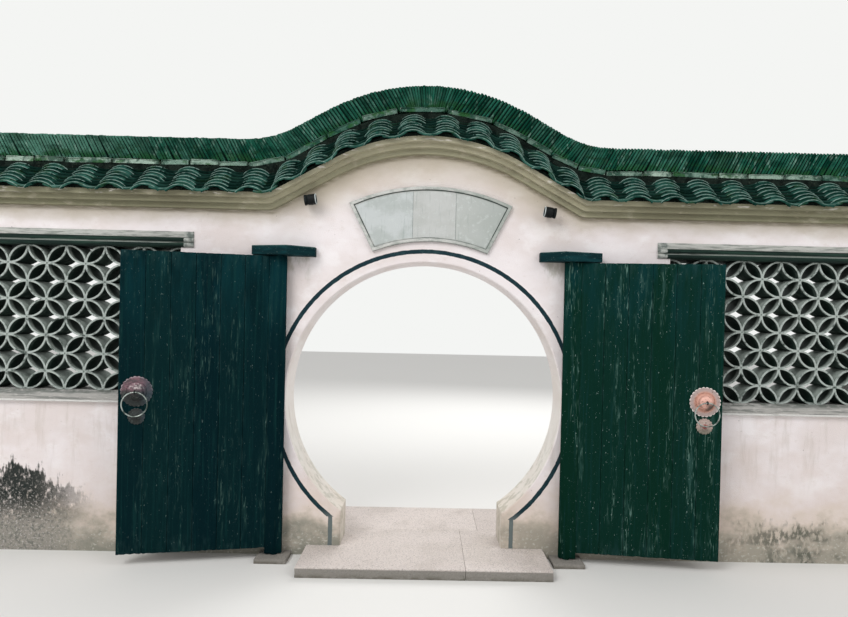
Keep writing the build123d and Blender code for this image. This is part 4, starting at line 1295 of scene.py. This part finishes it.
# Radius, height and depth of the flutes, from the rim to the middle
boss_profile = (
    (0.0975, 0.0000, 0.0060), (0.0975, 0.0028, 0.0060), (0.0945, 0.0044, 0.0050), (0.0860, 0.0034, 0.0034),
    (0.0740, 0.0040, 0.0014), (0.0670, 0.0062, 0.0), (0.0640, 0.0046, 0.0), (0.0610, 0.0078, 0.0),
    (0.0580, 0.0135, 0.0), (0.0530, 0.0162, 0.0), (0.0490, 0.0182, 0.0), (0.0465, 0.0250, 0.0),
    (0.0435, 0.0330, 0.0), (0.0370, 0.0380, 0.0), (0.0270, 0.0425, 0.0), (0.0150, 0.0448, 0.0),
    (0.0060, 0.0455, 0.0),
)
striker_profile = (
    (0.0510, 0.0000, 0.0050), (0.0510, 0.0026, 0.0050), (0.0485, 0.0040, 0.0040), (0.0410, 0.0036, 0.0016),
    (0.0340, 0.0056, 0.0), (0.0300, 0.0095, 0.0), (0.0255, 0.0128, 0.0), (0.0205, 0.0146, 0.0),
    (0.0150, 0.0168, 0.0), (0.0108, 0.0215, 0.0), (0.0100, 0.0262, 0.0), (0.0070, 0.0292, 0.0),
    (0.0030, 0.0300, 0.0),
)


def beaten_plate(scallops, profile):
    """A round plate beaten up towards +Z, level by level, with its rim in scallops."""
    plate = start_mesh(
        bpy.ops.mesh.primitive_circle_add, vertices=8 * scallops, radius=profile[0][0], fill_type="NGON",
    )
    for level in profile[1:]:
        bpy.ops.mesh.extrude_region_move(TRANSFORM_OT_translate={"value": (0, 0, level_step)})
    bpy.ops.object.mode_set(mode="OBJECT")
    for vertex in plate.data.vertices:
        radius, height, flute = profile[round(vertex.co.z / level_step)]
        turn = atan2(vertex.co.y, vertex.co.x)
        swell = abs(sin(scallops * turn / 2))
        reach = radius + flute * swell
        vertex.co = (reach * cos(turn), reach * sin(turn), height + 0.35 * flute * swell)
    mark_rim(plate, lambda spot: hypot(spot.x, spot.y) / profile[0][0])
    smooth(plate, 38)
    return plate


boss = beaten_plate(24, boss_profile)
dent(boss, reach=0.03, depth=0.0008)
striker = beaten_plate(16, striker_profile)
dent(striker, reach=0.02, depth=0.0006)
for plate, level in ((boss, knocker_height), (striker, knocker_height - striker_drop)):
    plate.data.transform(Matrix.Translation((knocker_x, -leaf_face, level)) @ Matrix.Rotation(pi / 2, 4, "X"))
eye = start_mesh(
    bpy.ops.mesh.primitive_torus_add,
    major_radius=0.0100, minor_radius=0.0038, major_segments=28, minor_segments=10,
    location=(knocker_x, -leaf_face - ring_stand, knocker_height), rotation=(0, pi / 2, 0),
)
close_mesh()
shank_middle = (knocker_x, -leaf_face - shank_stand, knocker_height)
shank = round_pin(sides=16, radius=0.0075, length=0.009, middle=shank_middle, edge=0.0018)
for forging in (eye, shank):
    mark_rim(forging, lambda spot: -1.0)
    smooth(forging, 40)
ring = start_mesh(
    bpy.ops.mesh.primitive_torus_add,
    major_radius=ring_radius, minor_radius=ring_wire, major_segments=72, minor_segments=12,
    location=(knocker_x, -leaf_face - ring_stand, knocker_height - ring_radius), rotation=(pi / 2, 0, 0),
)
close_mesh()
dent(ring, reach=0.012, depth=0.0009)
smooth(ring, 40)

# Brass, beaten and rubbed: pinkish and bright on its high places, with brown in the hollows and
# a painted shadow of the eye, dark green, below it to the right.
rubbed_brass, tree, shader = start_material("rubbed_brass", 0.55, metallic=0.3)
x, _, z = place_axes(tree)
out = add_node(tree, "Attribute", output="Fac", attribute_name="rim")
middle = leaf_places["right"] @ Vector((knocker_x, -leaf_face, knocker_height))
lower_half = fade(tree, z, middle.z + 0.012, middle.z - 0.030)
# Painted shadow of the eye and ring, below the boss's middle and to its right
eye_shadow = overlap(tree, lower_half, fade(tree, x, middle.x - 0.020, middle.x + 0.020))
low_plate = fade(tree, z, middle.z - 0.110, middle.z - 0.112)
strike_low = fade(tree, z, middle.z - striker_drop, middle.z - striker_drop - 0.04)
strike_tone = coats(
    tree, "#A0605A",
    ("#AF9A92", 1.0, fade(tree, out, 0.28, 0.40)),
    ("#141D1A", 1.0, fade(tree, out, 0.14, 0.08)),
    ("#5E6454", 0.7, strike_low, fade(tree, out, 0.2, 0.3)),
    ("#4A4F42", 0.6, patches(tree, (14, 14, 14), 0.54, 0.64, 5.0)),
)
tone = coats(
    tree, "#E2B1A2",
    ("#C2907F", 1.0, fade(tree, out, 0.35, 0.62)),
    ("#AE9C98", 1.0, fade(tree, out, 0.62, 0.88)),
    ("#E3DBD6", 1.0, fade(tree, out, 0.98, 1.03)),
    ("#1F2B26", 0.85, eye_shadow, fade(tree, out, 0.72, 0.55)),
    ("#7C5A48", 0.6, patches(tree, (16, 16, 16), 0.55, 0.68, 6.0)),
    (strike_tone, 1.0, low_plate),
    ("#16201E", 1.0, fade(tree, out, -0.4, -0.6)),
)
surface(tree, shader, tone, relief(tree, (5, 5, 5), 2.0), 0.0008)

# Brass left alone: tarnished purple-brown, with a painted highlight on the upper boss, painted
# shade, black-green, over its lower half, and darker blue-grey to the right.
tarnished_brass, tree, shader = start_material("tarnished_brass", 0.6, metallic=0.3)
x, _, z = place_axes(tree)
out = add_node(tree, "Attribute", output="Fac", attribute_name="rim")
middle = leaf_places["left"] @ Vector((knocker_x, -leaf_face, knocker_height))
# A painted highlight on the upper boss, and painted shade over the lower half
upper_highlight = overlap(tree, fade(tree, z, middle.z + 0.012, middle.z + 0.030), fade(tree, out, 0.62, 0.50))
lower_shade = fade(tree, z, middle.z + 0.030, middle.z - 0.025)
rightward = fade(tree, x, middle.x + 0.010, middle.x + 0.070)
tone = coats(
    tree, "#55464B",
    ("#7A5A63", 1.0, patches(tree, (40, 40, 20), 0.42, 0.62, 4.0)),
    ("#A79AA0", 0.8, fade(tree, out, 0.95, 1.0), patches(tree, (14, 14, 14), 0.4, 0.55)),
    ("#C9BFBE", 0.85, upper_highlight, patches(tree, (13, 13, 22), 0.44, 0.58, 5.0)),
    ("#15211F", 0.93, lower_shade),
    ("#2A3A44", 0.7, rightward),
    ("#55605A", 0.6, lower_shade, patches(tree, (12, 12, 20), 0.56, 0.66, 5.0)),
    ("#10191A", 1.0, fade(tree, out, -0.4, -0.6)),
)
surface(tree, shader, tone, relief(tree, (5, 5, 5), 2.0), 0.0008)

# Forged steel kept bright by hands, with brown rust where it is not touched.
forged_steel, tree, shader = start_material("forged_steel", 0.42, metallic=0.7)
tone = coats(
    tree, "#A9B2AD",
    ("#4F5A55", 1.0, patches(tree, (40, 40, 40), 0.42, 0.62, 4.0)),
    ("#5A4638", 0.6, patches(tree, (9, 9, 9), 0.58, 0.68, 5.0)),
)
surface(tree, shader, tone, relief(tree, (4, 4, 4), 2.0), 0.0005)
for side, metal in (("left", tarnished_brass), ("right", rubbed_brass)):
    spots = [leaf_places[side]]
    plates = join_pieces(f"{side}_beaten_plates", [
        lay_copies(part.name, [part], spots, 1) for part in (boss, striker, eye, shank)
    ])
    hand_over(plates, metal, f"{side}_leaf", f"{side}_knocker_metal", f"{side}_knocker_plates")
    forged_ring = lay_copies(f"{side}_forged_ring", [ring], spots, 1)
    hand_over(forged_ring, forged_steel, f"{side}_ring", "ring_steel", f"{side}_knocker_ring")
clear_away((boss, striker, eye, shank, ring))

# Spotlights
# Small cast cans on short arms, screwed to the wall beside the plaque and aimed along it.
can_radius, can_length, can_stand, can_tilt = 0.037, 0.084, 0.075, radians(8)
can_cuts = (0.012, 0.016, 0.020, 0.024, 0.028, 0.060)
can_grooves, groove_waist = (0.016, 0.024), 0.88
bezel_and_lens = ((0.003, 0.0), (0.001, -0.008), (0.020, -0.002))
back_plate = ((0.004, 0.0), (0.004, -0.002))
lamp_spots = {"left": Vector((-0.820, wall_front, 2.520)), "right": Vector((0.860, wall_front, 2.470))}

can = start_mesh(
    bpy.ops.mesh.primitive_cylinder_add,
    vertices=40, radius=can_radius, depth=can_length - 0.002, rotation=(0, pi / 2, 0),
)
for cut in can_cuts:
    bpy.ops.mesh.select_all(action="SELECT")
    bpy.ops.mesh.bisect(plane_co=(cut - can_length / 2, 0, 0), plane_no=(1, 0, 0))
close_mesh()
for vertex in can.data.vertices:
    along = vertex.co.x + can_length / 2
    if any(abs(along - groove) < 0.001 for groove in can_grooves):
        vertex.co.y *= groove_waist
        vertex.co.z *= groove_waist
bpy.ops.object.mode_set(mode="EDIT")
bpy.ops.mesh.select_mode(type="FACE")
for end, steps in ((1, bezel_and_lens), (-1, back_plate)):
    bpy.ops.mesh.select_all(action="DESELECT")
    bpy.ops.object.mode_set(mode="OBJECT")
    for face in can.data.polygons:
        face.select = len(face.vertices) > 4 and face.normal.x * end > 0.9
    bpy.ops.object.mode_set(mode="EDIT")
    for inward, lift in steps:
        bpy.ops.mesh.inset(thickness=inward, depth=lift)
bpy.ops.object.mode_set(mode="OBJECT")
mark_rim(can, lambda spot: 1.0 if spot.x > can_length / 2 - 0.003 else 0.0)
can.data.transform(Matrix.Translation((0, -can_stand, 0)) @ Matrix.Rotation(-can_tilt, 4, "Y"))
base = round_pin(sides=32, radius=0.0245, length=0.008, middle=(0, -0.004, 0), edge=0.0018)
arm = round_pin(sides=20, radius=0.0075, length=0.034, middle=(0, -0.024, 0))
nut = round_pin(sides=6, radius=0.0125, length=0.009, middle=(0, -0.031, 0), edge=0.0012)
screws = [
    round_pin(sides=14, radius=0.0035, length=0.0022, middle=(out, -0.0086, 0), edge=0.0007)
    for out in (-0.016, 0.016)
]
lamp_parts = (can, base, arm, nut, *screws)
for part in lamp_parts[1:]:
    mark_rim(part, lambda spot: 0.0)
for part in lamp_parts:
    smooth(part, 35)

# Powder-coated aluminium: black and finely pebbled, with a bright bezel round the lens.
lamp_black, tree, shader = start_material("lamp_black", 0.6, specular=0.2)
lens = add_node(tree, "Attribute", output="Fac", attribute_name="rim")
tone = coats(
    tree, "#080D0E",
    ("#171E1F", 1.0, patches(tree, (30, 30, 30), 0.46, 0.66, 5.0)),
    ("#C4CCCC", 1.0, fade(tree, lens, 0.6, 0.95)),
)
surface(tree, shader, tone, relief(tree, (2, 2, 2), 1.0), 0.0003)
for side, facing in (("left", 1), ("right", -1)):
    spot = Matrix.Translation(lamp_spots[side]) @ Matrix.Diagonal((facing, 1, 1, 1))
    spotlight = join_pieces(f"{side}_spotlight_can", [
        lay_copies(part.name, [part], [spot], 1) for part in lamp_parts
    ])
    hand_over(spotlight, lamp_black, "wall", "lamp_black", f"{side}_spotlight")
clear_away(lamp_parts)

low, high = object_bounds()
